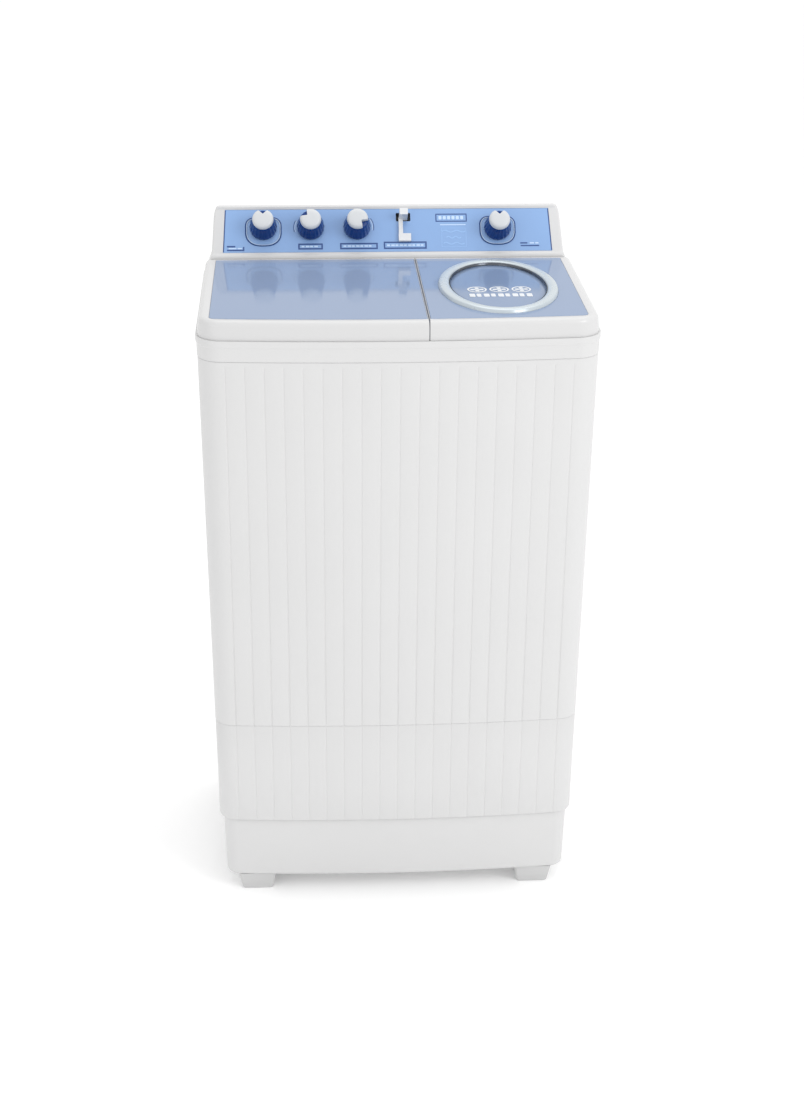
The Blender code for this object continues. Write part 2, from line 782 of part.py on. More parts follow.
def make_mechanism(name, x, half, depth, up=KNOB_UP):
    """A timer or switch body behind the fascia, with a bore for the knob's stem."""
    pivot = knob_pivot(f"{name}_place", x, up)
    top = -0.0060
    block = box_mesh((-half, -half * 0.7, top - depth), (half, half * 0.7, top))
    body = add_object(name, block, inner_plastic(), pivot, smooth=False)
    cut(body, turned_mesh(cylinder_profile(KNOB_STEM_R + 0.0007, -0.016, 0.01), 16), "stem_bore")


def make_lever():
    """The water inlet lever: a blade through its slot, and an L-shaped pointer down the fascia."""
    pivot = knob_pivot("inlet_lever_place", LEVER_X, LEVER_UP)
    blade = box_mesh((-0.0080, 0.0115, -0.0125), (0.0080, 0.0235, 0.028))
    lever = add_object("inlet_lever", blade, white(), pivot, smooth=False)
    join(lever, box_mesh((-0.0085, -0.022, 0.0008), (-0.0010, 0.0150, 0.0060)), "pointer_arm")
    join(lever, box_mesh((-0.0090, -0.030, 0.0008), (0.0130, -0.016, 0.0070)), "pointer_foot")


def make_controls():
    make_knob("wash_timer", WASH_TIMER_X, 0)
    make_knob("wash_mode", WASH_MODE_X, radians(48))
    make_knob("drain", DRAIN_X, radians(-125))
    make_knob("spin_timer", SPIN_TIMER_X, 0, SPIN_TIMER_UP)
    make_bezel("wash_timer", WASH_TIMER_X)
    make_bezel("spin_timer", SPIN_TIMER_X)
    make_mechanism("wash_timer_body", WASH_TIMER_X, 0.024, 0.019)
    make_mechanism("spin_timer_body", SPIN_TIMER_X, 0.024, 0.019, SPIN_TIMER_UP)
    make_mechanism("wash_mode_switch", WASH_MODE_X, 0.017, 0.016)
    make_mechanism("drain_selector", DRAIN_X, 0.017, 0.016)
    make_lever()


# ---------------------------------------------------------------- wash side


def tub_loop(grow, z, radius):
    half = (WASH_HALF[0] + grow, WASH_HALF[1] + grow)
    return at(rounded_rect((WASH_X, WASH_Y), half, radius), z)


def make_wash_tub():
    """A deep rounded box that hangs from the deck by its flange."""
    flange_z = DECK_Z + GAP
    loops = [
        tub_loop(-0.022, WASH_FLOOR_Z - 0.004, 0.044),
        tub_loop(-0.009, WASH_FLOOR_Z + 0.014, 0.052),
        tub_loop(WALL, flange_z, 0.053),
        tub_loop(0.0115, flange_z, 0.056),
        tub_loop(0.0115, flange_z + 0.0028, 0.056),
        tub_loop(0.0, flange_z + 0.0028, 0.050),
        tub_loop(-0.0125, WASH_FLOOR_Z + 0.016, 0.048),
        tub_loop(-0.024, WASH_FLOOR_Z, 0.040),
    ]
    tub = add_object("wash_tub", skin(loops, False), white())
    under, over = WASH_FLOOR_Z - 0.02, WASH_FLOOR_Z + 0.03
    cut(tub, turned_mesh(cylinder_profile(0.016, under, over), 20, (WASH_X, WASH_Y)), "shaft_hole")
    cut(tub, turned_mesh(cylinder_profile(0.011, under, over), 16, (VALVE_X, VALVE_Y)), "drain_hole")


def make_lint_filter():
    """A slim cassette on the wash tub's rear wall, with slots for the water."""
    x0, x1 = WASH_X - 0.032, WASH_X + 0.032
    back = WASH_Y + WASH_HALF[1] - 0.0050
    block = box_mesh((x0, back - 0.016, 0.80), (x1, back - 0.0005, 0.95))
    cassette = add_object("lint_filter", block, inner_plastic(), smooth=False)
    slots = bmesh.new()
    for i in range(5):
        x = WASH_X - 0.022 + i * 0.0094
        merge(slots, box_mesh((x, back - 0.03, 0.815), (x + 0.005, back - 0.0045, 0.925)))
    cut(cassette, slots, "slots")
    bevel(cassette, 0.0015)


def make_pulsator():
    """The finned disc on the wash tub's floor, and its long shaft."""
    pivot = empty("pulsator_axis", (WASH_X, WASH_Y, WASH_FLOOR_Z))
    profile = [
        (0.0062, 0.014),
        (0.030, 0.012),
        (0.112, 0.004),
        (0.116, 0.006),
        (0.115, 0.010),
        (0.070, 0.018),
        (0.034, 0.034),
        (0.018, 0.040),
        (0.0062, 0.041),
    ]
    disc = add_object("pulsator", turned_mesh(profile, ROUND_STEPS), white(), pivot)
    foot = [(0.022, -0.007, 0.012), (0.106, -0.005, 0.0085)]
    foot += [(x, -y, z) for x, y, z in reversed(foot)]
    crest = [(0.024, -0.004, 0.050), (0.104, -0.002, 0.019)]
    crest += [(x, -y, z) for x, y, z in reversed(crest)]
    for i in range(PULSATOR_FINS):
        fin = skin([foot, crest], False)
        turn = Matrix.Rotation(2 * pi * i / PULSATOR_FINS, 3, "Z")
        bmesh.ops.rotate(fin, matrix=turn, verts=fin.verts)
        join(disc, fin, f"fin_{i}")
    shaft_low = BELT_Z - 0.022
    shaft = turned_mesh(cylinder_profile(SHAFT_R - 0.0001, shaft_low - WASH_FLOOR_Z, 0.036), SMALL_STEPS)
    add_object("pulsator_shaft", shaft, steel(), pivot)


def pulley_profile(radius, hub, bore, thick, web):
    """A rim with a belt groove, a web and a hub, round the belt's middle height."""
    half, slot = thick / 2, BELT_H / 2 + 0.0008
    rim_in = radius - GROOVE_IN - 0.004
    return [
        (bore, -half - 0.004),
        (hub, -half - 0.004),
        (hub, -web / 2),
        (rim_in, -web / 2),
        (rim_in, -half),
        (radius, -half),
        (radius, -slot),
        (radius - GROOVE_IN, -slot + 0.001),
        (radius - GROOVE_IN, slot - 0.001),
        (radius, slot),
        (radius, half),
        (rim_in, half),
        (rim_in, web / 2),
        (hub, web / 2),
        (hub, half + 0.004),
        (bore, half + 0.004),
    ]


def make_wash_drive():
    """Motor, belt and pulleys that turn the pulsator, and the bearing under the tub."""
    bearing = [
        (SHAFT_R + 0.0008, BELT_Z + 0.020),
        (0.020, BELT_Z + 0.020),
        (0.022, BELT_Z + 0.050),
        (0.022, WASH_FLOOR_Z - 0.030),
        (0.060, WASH_FLOOR_Z - 0.016),
        (0.060, WASH_FLOOR_Z - 0.0045),
        (SHAFT_R + 0.0008, WASH_FLOOR_Z - 0.0045),
    ]
    add_object("bearing_housing", turned_mesh(bearing, 20, (WASH_X, WASH_Y)), grey_paint())

    drive_axis = empty("drive_pulley_axis", (WASH_X, WASH_Y, BELT_Z))
    profile = pulley_profile(DRIVE_R, 0.016, SHAFT_R + GAP, 0.018, 0.004)
    add_object("drive_pulley", turned_mesh(profile, ROUND_STEPS), inner_plastic(), drive_axis)

    motor_axis = empty("wash_motor_axis", (MOTOR_X, MOTOR_Y, BELT_Z))
    rim, floor = MOTOR_PULLEY_R, MOTOR_PULLEY_R - GROOVE_IN
    small = [(0, -0.028), (SHAFT_R, -0.028), (SHAFT_R, -0.010), (rim, -0.009), (rim, -0.0048)]
    small += [(floor, -0.0038), (floor, 0.0038), (rim, 0.0048), (rim, 0.009), (0.009, 0.011), (0, 0.011)]
    add_object("motor_pulley", turned_mesh(small, SMALL_STEPS), steel(), motor_axis)
    add_object("drive_belt", belt_mesh(), black_rubber())

    seat = BASE_FLOOR_Z + GAP
    casing = [(0, seat), (0.074, seat), (0.074, 0.037), (0.060, 0.039), (0.062, 0.060), (0.062, 0.165)]
    casing += [(0.050, 0.180), (0.022, 0.186), (0.018, 0.194), (0.0, 0.194)]
    add_object("wash_motor", turned_mesh(casing, ROUND_STEPS, (MOTOR_X, MOTOR_Y)), grey_paint())


def belt_mesh():
    """A flat loop round both pulleys, clear of their grooves' floors."""

    def loop(extra, z):
        big = DRIVE_R - GROOVE_IN + 0.0012 + extra
        little = MOTOR_PULLEY_R - GROOVE_IN + 0.0012 + extra
        lean = acos((big - little) / MOTOR_DISTANCE)
        points = arc((WASH_X, WASH_Y), big, MOTOR_ANGLE + lean, MOTOR_ANGLE + 2 * pi - lean, 18)
        points += arc((MOTOR_X, MOTOR_Y), little, MOTOR_ANGLE - lean, MOTOR_ANGLE + lean, 6)
        return at(points, z)

    low, high = BELT_Z - BELT_H / 2 + 0.0012, BELT_Z + BELT_H / 2 - 0.0012
    return skin([loop(0, low), loop(0.0045, low), loop(0.0045, high), loop(0, high)], True)


# ---------------------------------------------------------------- spin side


def make_spin_tub():
    """The still outer tub, with a raised collar round the shaft."""
    top = DECK_Z + GAP
    profile = [
        (0.024, SPIN_TUB_Z),
        (SPIN_TUB_R - 0.006, SPIN_TUB_Z),
        (SPIN_TUB_R + WALL - 0.002, SPIN_TUB_Z + 0.008),
        (SPIN_TUB_R + WALL, top),
        (SPIN_TUB_R + 0.010, top),
        (SPIN_TUB_R + 0.010, top + 0.0028),
        (SPIN_TUB_R, top + 0.0028),
        (SPIN_TUB_R - 0.002, SPIN_TUB_Z + 0.010),
        (SPIN_TUB_R - 0.008, SPIN_TUB_Z + 0.004),
        (0.034, SPIN_TUB_Z + 0.004),
        (0.030, SPIN_TUB_Z + 0.020),
        (0.024, SPIN_TUB_Z + 0.020),
    ]
    add_object("spin_tub", turned_mesh(profile, ROUND_STEPS, (SPIN_X, SPIN_Y)), white())


def make_spin_basket(pivot):
    """The inner basket, and the press disc on its floor. Its wall has no holes here."""
    low, high = BASKET_Z[0] - BELT_Z, BASKET_Z[1] - BELT_Z
    profile = [
        (SHAFT_R + GAP, low - 0.014),
        (0.016, low - 0.014),
        (0.018, low),
        (BASKET_R - 0.010, low),
        (BASKET_R, low + 0.010),
        (BASKET_R, high - 0.004),
        (BASKET_R + 0.003, high),
        (BASKET_R - 0.004, high),
        (BASKET_R - 0.004, high - 0.006),
        (BASKET_R - 0.002, high - 0.010),
        (BASKET_R - 0.002, low + 0.012),
        (BASKET_R - 0.012, low + 0.002),
        (0.020, low + 0.002),
        (0.016, low + 0.012),
        (SHAFT_R + GAP, low + 0.012),
    ]
    add_object("spin_basket", turned_mesh(profile, ROUND_STEPS), inner_plastic(), pivot)
    under = low + 0.0155
    disc = [(0.0, under), (0.090, under), (0.092, under + 0.002), (0.090, under + 0.004)]
    disc += [(0.020, under + 0.004), (0.012, under + 0.0105), (0.0, under + 0.0105)]
    add_object("spin_press_disc", turned_mesh(disc, ROUND_STEPS), dark_blue(), pivot)


def make_spin_drive():
    """Basket, shaft and drum above the sprung motor, with the brake on its arm."""
    pivot = empty("spin_axis", (SPIN_X, SPIN_Y, BELT_Z))
    make_spin_basket(pivot)
    shaft = cylinder_profile(SHAFT_R, 0.012, BASKET_Z[0] + 0.012 - BELT_Z)
    add_object("spin_shaft", turned_mesh(shaft, SMALL_STEPS), steel(), pivot)
    drum = [(SHAFT_R + GAP, 0.018), (DRUM_R, 0.018), (DRUM_R, 0.050)]
    drum += [(0.018, 0.050), (0.014, 0.066), (SHAFT_R + GAP, 0.066)]
    add_object("brake_drum", turned_mesh(drum, ROUND_STEPS), grey_paint(), pivot)

    spring_top = 0.078
    seat = spring_top + GAP
    casing = [(0, seat), (0.070, seat), (0.070, 0.083), (0.056, 0.084), (0.058, 0.100), (0.058, 0.205)]
    casing += [(0.046, 0.218), (0.016, 0.224), (0.014, 0.2365), (0.0, 0.2365)]
    motor = add_object("spin_motor", turned_mesh(casing, ROUND_STEPS, (SPIN_X, SPIN_Y)), grey_paint())
    arm = box_mesh((SPIN_X + 0.020, BRAKE_Y - 0.007, 0.195), (BRAKE_X + 0.008, BRAKE_Y + 0.007, 0.205))
    join(motor, arm, "brake_arm")
    post = turned_mesh(cylinder_profile(0.0035, 0.200, 0.272), 12, (BRAKE_X, BRAKE_Y))
    join(motor, post, "brake_post")
    make_brake_lever()

    for name, turn in (("front", -pi / 2), ("left", pi * 5 / 6), ("right", pi / 6)):
        x, y = SPIN_X + SPRING_CIRCLE_R * cos(turn), SPIN_Y + SPRING_CIRCLE_R * sin(turn)
        make_spring(f"spin_spring_{name}", x, y, spring_top)


def make_brake_lever():
    """A lever on the spin motor's post, whose shoe stands 3 mm off the drum while the lid is shut."""
    pivot = empty("brake_lever_axis", (BRAKE_X, BRAKE_Y, 0.250))
    eye = turned_mesh(tube_profile(0.0040, 0.0075, 0.0, 0.014), SMALL_STEPS)
    lever = add_object("brake_lever", eye, steel(), pivot)
    shoe_x, shoe_y = SPIN_X + DRUM_R + 0.003 - BRAKE_X, SPIN_Y - BRAKE_Y
    join(lever, box_mesh((-0.004, 0.0055, 0.002), (0.004, shoe_y + 0.010, 0.012)), "arm")
    join(lever, box_mesh((shoe_x, shoe_y - 0.009, 0.003), (0.002, shoe_y + 0.009, 0.011)), "shoe")


def make_spring(name, x, y, top):
    """A coil between the tray's floor and the motor's plate."""
    wire, radius, turns, per_turn = 0.0018, 0.010, 3, 9
    low = BASE_FLOOR_Z + GAP + wire
    high = top - wire
    count = turns * per_turn
    curve = bpy.data.curves.new(name, "CURVE")
    curve.dimensions = "3D"
    curve.bevel_depth = wire
    curve.bevel_resolution = 0
    curve.use_fill_caps = True
    spline = curve.splines.new("POLY")
    spline.points.add(count)
    for i, point in enumerate(spline.points):
        turn = 2 * pi * i / per_turn
        point.co = (x + radius * cos(turn), y + radius * sin(turn), low + (high - low) * i / count, 1)
    curve.materials.append(steel())
    made = bpy.data.objects.new(name, curve)
    bpy.context.scene.collection.objects.link(made)
    made.parent = bpy.data.objects["washer"]


# ---------------------------------------------------------------- water, drain and power


def make_drain():
    """The valve under the tub, its plunger, and the hose that carries the water out at the back."""
    top = WASH_FLOOR_Z - 0.0045
    valve = [
        (0.0, top - 0.066),
        (0.020, top - 0.066),
        (0.026, top - 0.060),
        (0.026, top),
        (0.021, top),
        (0.021, top - 0.056),
        (0.0, top - 0.056),
    ]
    add_object("drain_valve", turned_mesh(valve, SMALL_STEPS, (VALVE_X, VALVE_Y)), inner_plastic())
    pivot = empty("drain_plunger_axis", (VALVE_X, VALVE_Y, top - 0.050))
    plunger = [(0.0, 0.0), (0.016, 0.0), (0.016, 0.004), (0.005, 0.006), (0.005, 0.032), (0.0, 0.032)]
    add_object("drain_plunger", turned_mesh(plunger, SMALL_STEPS), black_rubber(), pivot)

    grey = material("hose_grey", (0.35, 0.36, 0.37), 0.6)
    add_object("drain_hose", hose_mesh(top - 0.066 - GAP), grey)


def hose_mesh(start):
    """A hollow hose, straight down from the valve, round one bend and out through the plinth."""
    bend, steps = 0.045, 6
    route = [(VALVE_Y, start, 0.0), (VALVE_Y, OUTLET_Z + bend, 0.0)]
    for i in range(1, steps + 1):
        turn = pi / 2 * i / steps
        route.append((VALVE_Y + bend - bend * cos(turn), OUTLET_Z + bend - bend * sin(turn), turn))
    route.append((RIM_HALF_D - 0.006, OUTLET_Z, pi / 2))

    def ring(place, radius):
        y, z, turn = place
        section = ellipse((0, 0), radius, radius, 12)
        return [(OUTLET_X + u, y + v * cos(turn), z + v * sin(turn)) for u, v in section]

    outside = [ring(place, HOSE_R) for place in route]
    inside = [ring(place, HOSE_R - WALL) for place in reversed(route)]
    return skin(outside + inside, True)


def make_inlet_and_gland():
    """The water inlet's nozzle on the console's back, and the power cord's gland below it."""
    length = NOZZLE_OUT + 0.012
    nozzle = [
        (0.0055, 0.0),
        (0.0090, 0.0),
        (0.0090, 0.0094),
        (0.0150, 0.0094),
        (0.0150, 0.0125),
        (0.0095, 0.0135),
        (0.0095, length - 0.002),
        (0.0085, length),
        (0.0055, length),
    ]
    back = RIM_HALF_D + NOZZLE_OUT - length
    nozzle_mesh = along_y(turned_mesh(nozzle, SMALL_STEPS), back, (NOZZLE_X, NOZZLE_Z))
    add_object("water_inlet", nozzle_mesh, inner_plastic())
    gland = [(0.0035, -0.012), (0.0080, -0.012), (0.0080, GAP), (0.0130, GAP)]
    gland += [(0.0130, 0.004), (0.0060, 0.012), (0.0035, 0.012)]
    gland_mesh = along_y(turned_mesh(gland, SMALL_STEPS), cabinet_back(GLAND_Z), (GLAND_X, GLAND_Z))
    add_object("cable_gland", gland_mesh, black_rubber())


def make_capacitor():
    can = cylinder_profile(0.022, BASE_FLOOR_Z + GAP, BASE_FLOOR_Z + 0.085)
    aluminium = material("capacitor", (0.55, 0.57, 0.60), 0.35, 1.0)
    add_object("run_capacitor", turned_mesh(can, 20, (-0.235, -0.120)), aluminium)


def build():
    clear_scene()
    empty("washer", (0, CENTRE_Y, FOOT_DROP))
    make_base_tray()
    make_feet()
    make_lower_skirt()
    make_cabinet_shell()
    make_rear_cover()
    make_top_frame()
    make_lids()
    make_console()
    make_controls()
    make_wash_tub()
    make_lint_filter()
    make_pulsator()
    make_wash_drive()
    make_spin_tub()
    make_spin_drive()
    make_drain()
    make_inlet_and_gland()
    make_capacitor()


build()
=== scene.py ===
"""The looks of a twin tub washing machine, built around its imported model.

Metres, +Z up, the front faces -Y. Meshes are made in the machine's own frame, which lies CENTRE_Y
along and FOOT_DROP above the world's, and place() moves each piece there as it puts it on its body.
"""

import json
from math import atan2, cos, hypot, pi, radians, sin

import bmesh
import bpy
from mathutils import Matrix, Vector


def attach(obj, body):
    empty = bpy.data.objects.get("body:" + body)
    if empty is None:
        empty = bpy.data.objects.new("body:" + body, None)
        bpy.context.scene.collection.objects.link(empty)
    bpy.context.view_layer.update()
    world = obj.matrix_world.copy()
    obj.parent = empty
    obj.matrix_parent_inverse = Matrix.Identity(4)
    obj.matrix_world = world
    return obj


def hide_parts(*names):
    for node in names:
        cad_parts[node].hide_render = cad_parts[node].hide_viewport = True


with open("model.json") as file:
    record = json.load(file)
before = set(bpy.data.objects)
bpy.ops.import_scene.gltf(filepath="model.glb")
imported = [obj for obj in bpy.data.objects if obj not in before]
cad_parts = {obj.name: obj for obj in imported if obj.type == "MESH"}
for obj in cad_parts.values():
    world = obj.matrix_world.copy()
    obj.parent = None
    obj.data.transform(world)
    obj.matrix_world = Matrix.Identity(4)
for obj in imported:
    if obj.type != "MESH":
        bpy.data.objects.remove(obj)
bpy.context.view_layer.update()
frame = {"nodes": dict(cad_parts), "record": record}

# Body: half sizes at the rim, which is the widest place
RIM_HALF_W, RIM_HALF_D = 0.33, 0.23
CORNER_R = 0.045
FRONT_BOW = 0.011
BODY_DRAFT = 0.0108
WALL = 0.003
GAP = 0.0003
CENTRE_Y = -0.0055
FOOT_DROP = 0.01
FOOT_X, FOOT_Y = 0.2525, 0.172

# Levels, from the floor up
FOOT_H = 0.026
STEP_Z = 0.149
SEAM_Z = 0.343
BAND_Z = 1.013
DECK_Z = 1.04
RIM_Z = 1.048
LID_Z = 1.079
BASE_FLOOR_Z = 0.031

# Grooves between the planks of the cabinet's faces, as (across, share of the depth)
GROOVE_PITCH = 0.0314
GROOVE_DEPTH = 0.0008
GROOVE = (
    (-0.0021, 0.0), (-0.0014, 0.2), (-0.0005, 0.85), (0.0, 1.0), (0.0005, 0.85), (0.0014, 0.2), (0.0021, 0.0)
)
FRONT_GROOVES, SIDE_GROOVES = 9, 5
PLAIN_STRIP = 0.01
CABINET_SET_BACK, SKIRT_SET_BACK = 0.0008, 0.0012

# Lids
LID_GAP_X = 0.0465
LID_BACK_Y = 0.15
HINGE_Y, HINGE_Z = 0.133, 1.066
PIN_HOLE_R = 0.0035
KNUCKLE_R = 0.006
LID_END_R = 0.0175
LID_END_X = 0.3165
PANEL_INSET = 0.0235
PANEL_CORNER_R = 0.01
PINS = {"wash": (-0.3, 0.03), "spin": (0.063, 0.3)}
RING_X, RING_Y, RING_RX, RING_RY = 0.176, -0.037, 0.101, 0.157
RING_W = 0.0197
RING_TOP_Z = 1.0862
SEAT_Z = LID_Z - 0.0025
THROUGH_LID = (1.06, 1.09)
FAN_BLADE = (
    (0.0014, -0.0012), (0.0052, -0.0046), (0.0098, -0.005), (0.0116, -0.0008),
    (0.0098, 0.0022), (0.005, 0.0018), (0.0014, 0.0012),
)

# Console and controls
CONSOLE_FRONT_Y = 0.1555
FASCIA_LOW, FASCIA_HIGH = (0.16, 1.0865), (0.211, 1.156)
FASCIA_HALF_W, FASCIA_T = 0.294, 0.002
CONSOLE_TOP_Z = 1.159
KNOBS = {
    "wash_timer": (-0.222, 0.0485, 0.0),
    "wash_mode": (-0.138, 0.0485, 48.0),
    "drain": (-0.055, 0.0485, -125.0),
    "spin_timer": (0.197, 0.0455, 0.0),
}
BEZEL_UP, LEVER_UP = 0.0495, 0.05
KNOB_STEM_R = 0.0045
LEVER_X = 0.028
LEVER_SLOT = (-0.013, 0.0095), (0.013, 0.0255)
FASCIA_LEN = hypot(FASCIA_HIGH[0] - FASCIA_LOW[0], FASCIA_HIGH[1] - FASCIA_LOW[1])
FASCIA_TURN = atan2(FASCIA_HIGH[1] - FASCIA_LOW[1], FASCIA_HIGH[0] - FASCIA_LOW[0])

# Tubs and the openings at the back
WASH_X, WASH_Y, WASH_HALF, WASH_FLOOR_Z = -0.1345, -0.0435, (0.1595, 0.1515), 0.405
SPIN_X, SPIN_Y, SPIN_TUB_R, SPIN_TUB_Z = 0.176, -0.029, 0.118, 0.44
BASKET_R, BASKET_Z = 0.105, (0.5, 0.95)
SHAFT_R = 0.006
VALVE_X, VALVE_Y = -0.225, 0.045
OUTLET_X, OUTLET_Z = -0.225, 0.09
NOZZLE_X, NOZZLE_Z, NOZZLE_OUT = -0.2, 1.11, 0.022
GLAND_X, GLAND_Z = 0.235, 0.4
SERVICE_HALF_W, SERVICE_Z = 0.19, (0.38, 0.72)
COVER_LAP = (0.015, 0.018)
LOUVRES = [0.42 + i * 0.016 for i in range(8)]
CABINET_SCREWS = (-0.27, 0.95), (0.27, 0.95), (-0.27, 0.37), (0.27, 0.37)
DECK_SCREWS = (
    (-0.305, -0.195), (0.305, -0.195), (0.036, -0.205), (-0.305, 0.138), (0.036, 0.138), (0.314, 0.11)
)

# Camera and studio
VIEW_YAW, VIEW_PITCH, VIEW_ROLL = 3.47, 23.92, 0.48
VIEW_FROM = (-0.17, -3.117 + CENTRE_Y, 1.965 + FOOT_DROP)
FOCAL_SHARE = 1.71495
SENSOR = 36.0
FLOOR_HALF = 30
FLOOR_GLOW, SKY = 0.12, 0.97


# ---- materials


def surface(name, colour, roughness, mottle=0.03, grain=900.0, bump=0.04, spread=0.05, metallic=0.0,
            specular=0.5, coat=0.0, stretch=None):
    """A Principled material whose colour, roughness and height vary a little, with noise in the
    piece's own coordinates. mottle is the share of the colour that varies, grain and bump are the
    fine texture's scale and strength, and spread is the roughness's range either way."""
    made = bpy.data.materials.new(name)
    made.use_nodes = True
    tree = made.node_tree
    shader = tree.nodes["Principled BSDF"]
    place = tree.nodes.new("ShaderNodeTexCoord").outputs["Object"]
    if stretch:
        mapping = tree.nodes.new("ShaderNodeMapping")
        mapping.inputs["Scale"].default_value = stretch
        tree.links.new(place, mapping.inputs["Vector"])
        place = mapping.outputs["Vector"]

    def noise(scale, detail):
        node = tree.nodes.new("ShaderNodeTexNoise")
        node.inputs["Scale"].default_value = scale
        node.inputs["Detail"].default_value = detail
        tree.links.new(place, node.inputs["Vector"])
        return node.outputs["Fac"]

    ramp = tree.nodes.new("ShaderNodeMix")
    ramp.data_type = "RGBA"
    ramp.inputs["A"].default_value = (*[c * (1 - mottle) for c in colour], 1)
    ramp.inputs["B"].default_value = (*[min(1.0, c * (1 + mottle)) for c in colour], 1)
    tree.links.new(noise(7.0, 3.0), ramp.inputs["Factor"])
    tree.links.new(ramp.outputs["Result"], shader.inputs["Base Color"])

    span = tree.nodes.new("ShaderNodeMapRange")
    span.inputs["To Min"].default_value = max(0.02, roughness - spread)
    span.inputs["To Max"].default_value = roughness + spread
    tree.links.new(noise(24.0, 4.0), span.inputs["Value"])
    tree.links.new(span.outputs["Result"], shader.inputs["Roughness"])

    height = tree.nodes.new("ShaderNodeBump")
    height.inputs["Strength"].default_value = bump
    height.inputs["Distance"].default_value = 0.0004
    tree.links.new(noise(grain, 2.0), height.inputs["Height"])
    tree.links.new(height.outputs["Normal"], shader.inputs["Normal"])
    shader.inputs["Metallic"].default_value = metallic
    shader.inputs["Specular IOR Level"].default_value = specular
    shader.inputs["Coat Weight"].default_value = coat
    return made


# Name, colour, roughness, mottle, grain, bump, spread
WHITE = surface("white_plastic", (0.612, 0.611, 0.611), 0.38, 0.018, 1400.0, 0.05)
FOOT = surface("foot_plastic", (0.54, 0.54, 0.54), 0.5, 0.03, 900.0, 0.08)
WHITE_GLOSS = surface("white_gloss", (0.6, 0.599, 0.6), 0.24, 0.01, 500.0, 0.02, specular=0.4)
CAP = surface("knob_white", (0.575, 0.59, 0.604), 0.35, 0.02, 700.0, 0.03)
LEVER = surface("lever_white", (0.69, 0.698, 0.708), 0.4, 0.02, 700.0, 0.03)
MARK = surface("white_mark", (0.7, 0.72, 0.74), 0.4, 0.02)
INNER = surface("inner_plastic", (0.6, 0.64, 0.66), 0.42, 0.02, 1100.0, 0.06)
TUB = surface("tub_plastic", (0.62, 0.66, 0.69), 0.3, 0.02, 700.0, 0.04)
PANEL = surface("blue_panel", (0.238, 0.308, 0.448), 0.07, 0.02, 260.0, 0.01, 0.02, specular=0.2)
WINDOW = surface("window_plastic", (0.2, 0.272, 0.415), 0.1, 0.03, 260.0, 0.02, 0.02, specular=0.24)
KNOB = surface("knob_blue", (0.001, 0.036, 0.19), 0.16, 0.4, 300.0, 0.02, 0.05, specular=0.2)
SILVER = surface("ring_silver", (0.535, 0.59, 0.622), 0.28, 0.02, 900.0, 0.03, metallic=0.3)
# Dark lining of the window ring: its colour is painted shade inside the ring's recess
RING_WALL_SHADE = surface("ring_wall_painted_shade", (0.11, 0.12, 0.14), 0.2, 0.1, 500.0, 0.03, metallic=0.8)
BEZEL_DARK = surface("bezel_dark", (0.012, 0.05, 0.19), 0.35, 0.05, 500.0, 0.02, specular=0.3)
BEZEL_PALE = surface("bezel_pale", (0.52, 0.66, 0.82), 0.3, 0.05, 600.0, 0.03)
STEEL = surface("steel", (0.56, 0.56, 0.57), 0.3, 0.03, 300.0, 0.08, metallic=1.0, stretch=(1, 1, 12))
CASTING = surface("motor_paint", (0.16, 0.17, 0.18), 0.55, 0.1, 600.0, 0.25)
RUBBER = surface("rubber", (0.028, 0.028, 0.03), 0.75, 0.15, 700.0, 0.2)
DARK = surface("dark_slot", (0.016, 0.02, 0.035), 0.55, 0.1, 700.0, 0.05)
# Grey strip in the gap between the lids: its colour is painted shade for that gap
GAP_SHADE = surface("lid_gap_shade", (0.19, 0.21, 0.26), 0.6, 0.1, 700.0, 0.05)
HOSE = surface("hose_grey", (0.3, 0.31, 0.32), 0.55, 0.05, 500.0, 0.15)
CAN = surface("capacitor_can", (0.52, 0.54, 0.57), 0.32, 0.03, 300.0, 0.08, metallic=1.0)
FASCIA = surface("fascia_blue", (0.238, 0.385, 0.655), 0.22, 0.05, 500.0, 0.015, coat=0.2)
INK_DARK = surface("ink_navy", (0.03, 0.075, 0.235), 0.35, 0.05)
INK_PALE = surface("ink_pale", (0.52, 0.66, 0.85), 0.35, 0.03)
INK_CYAN = surface("ink_cyan", (0.275, 0.45, 0.73), 0.35, 0.03)


# ---- mesh helpers


def skin(loops, closed=False):
    """Bridges loops of equal length. An open skin is capped at both ends."""
    bm = bmesh.new()
    rings = [[bm.verts.new(point) for point in loop] for loop in loops]
    pairs = list(zip(rings, rings[1:]))
    if closed:
        pairs.append((rings[-1], rings[0]))
    for low, high in pairs:
        for i in range(len(low)):
            k = (i + 1) % len(low)
            bm.faces.new((low[i], low[k], high[k], high[i]))
    if not closed:
        bm.faces.new(rings[0])
        bm.faces.new(rings[-1])
    return bm


def at(outline, z):
    return [(x, y, z) for x, y in outline]


def turned(profile, steps=64, centre=(0, 0)):
    """Spins a profile of (radius, z) round the vertical through centre."""
    bm = bmesh.new()
    points = [bm.verts.new((centre[0] + r, centre[1], z)) for r, z in profile]
    edges = [bm.edges.new(pair) for pair in zip(points, points[1:])]
    if profile[0][0] > 0 or profile[-1][0] > 0:
        edges.append(bm.edges.new((points[-1], points[0])))
    spin = {"cent": (*centre, 0), "axis": (0, 0, 1), "angle": 2 * pi, "steps": steps, "use_merge": True}
    bmesh.ops.spin(bm, geom=points + edges, **spin)
    bmesh.ops.remove_doubles(bm, verts=bm.verts, dist=1e-6)
    return bm


def post(radius, low, high, steps, centre=(0, 0)):
    """An upright round bar."""
    return turned([(0, low), (radius, low), (radius, high), (0, high)], steps, centre)


def box_mesh(low, high):
    bm = bmesh.new()
    bmesh.ops.create_cube(bm, size=1)
    bmesh.ops.scale(bm, vec=[b - a for a, b in zip(low, high)], verts=bm.verts)
    bmesh.ops.translate(bm, vec=[(a + b) / 2 for a, b in zip(low, high)], verts=bm.verts)
    return bm


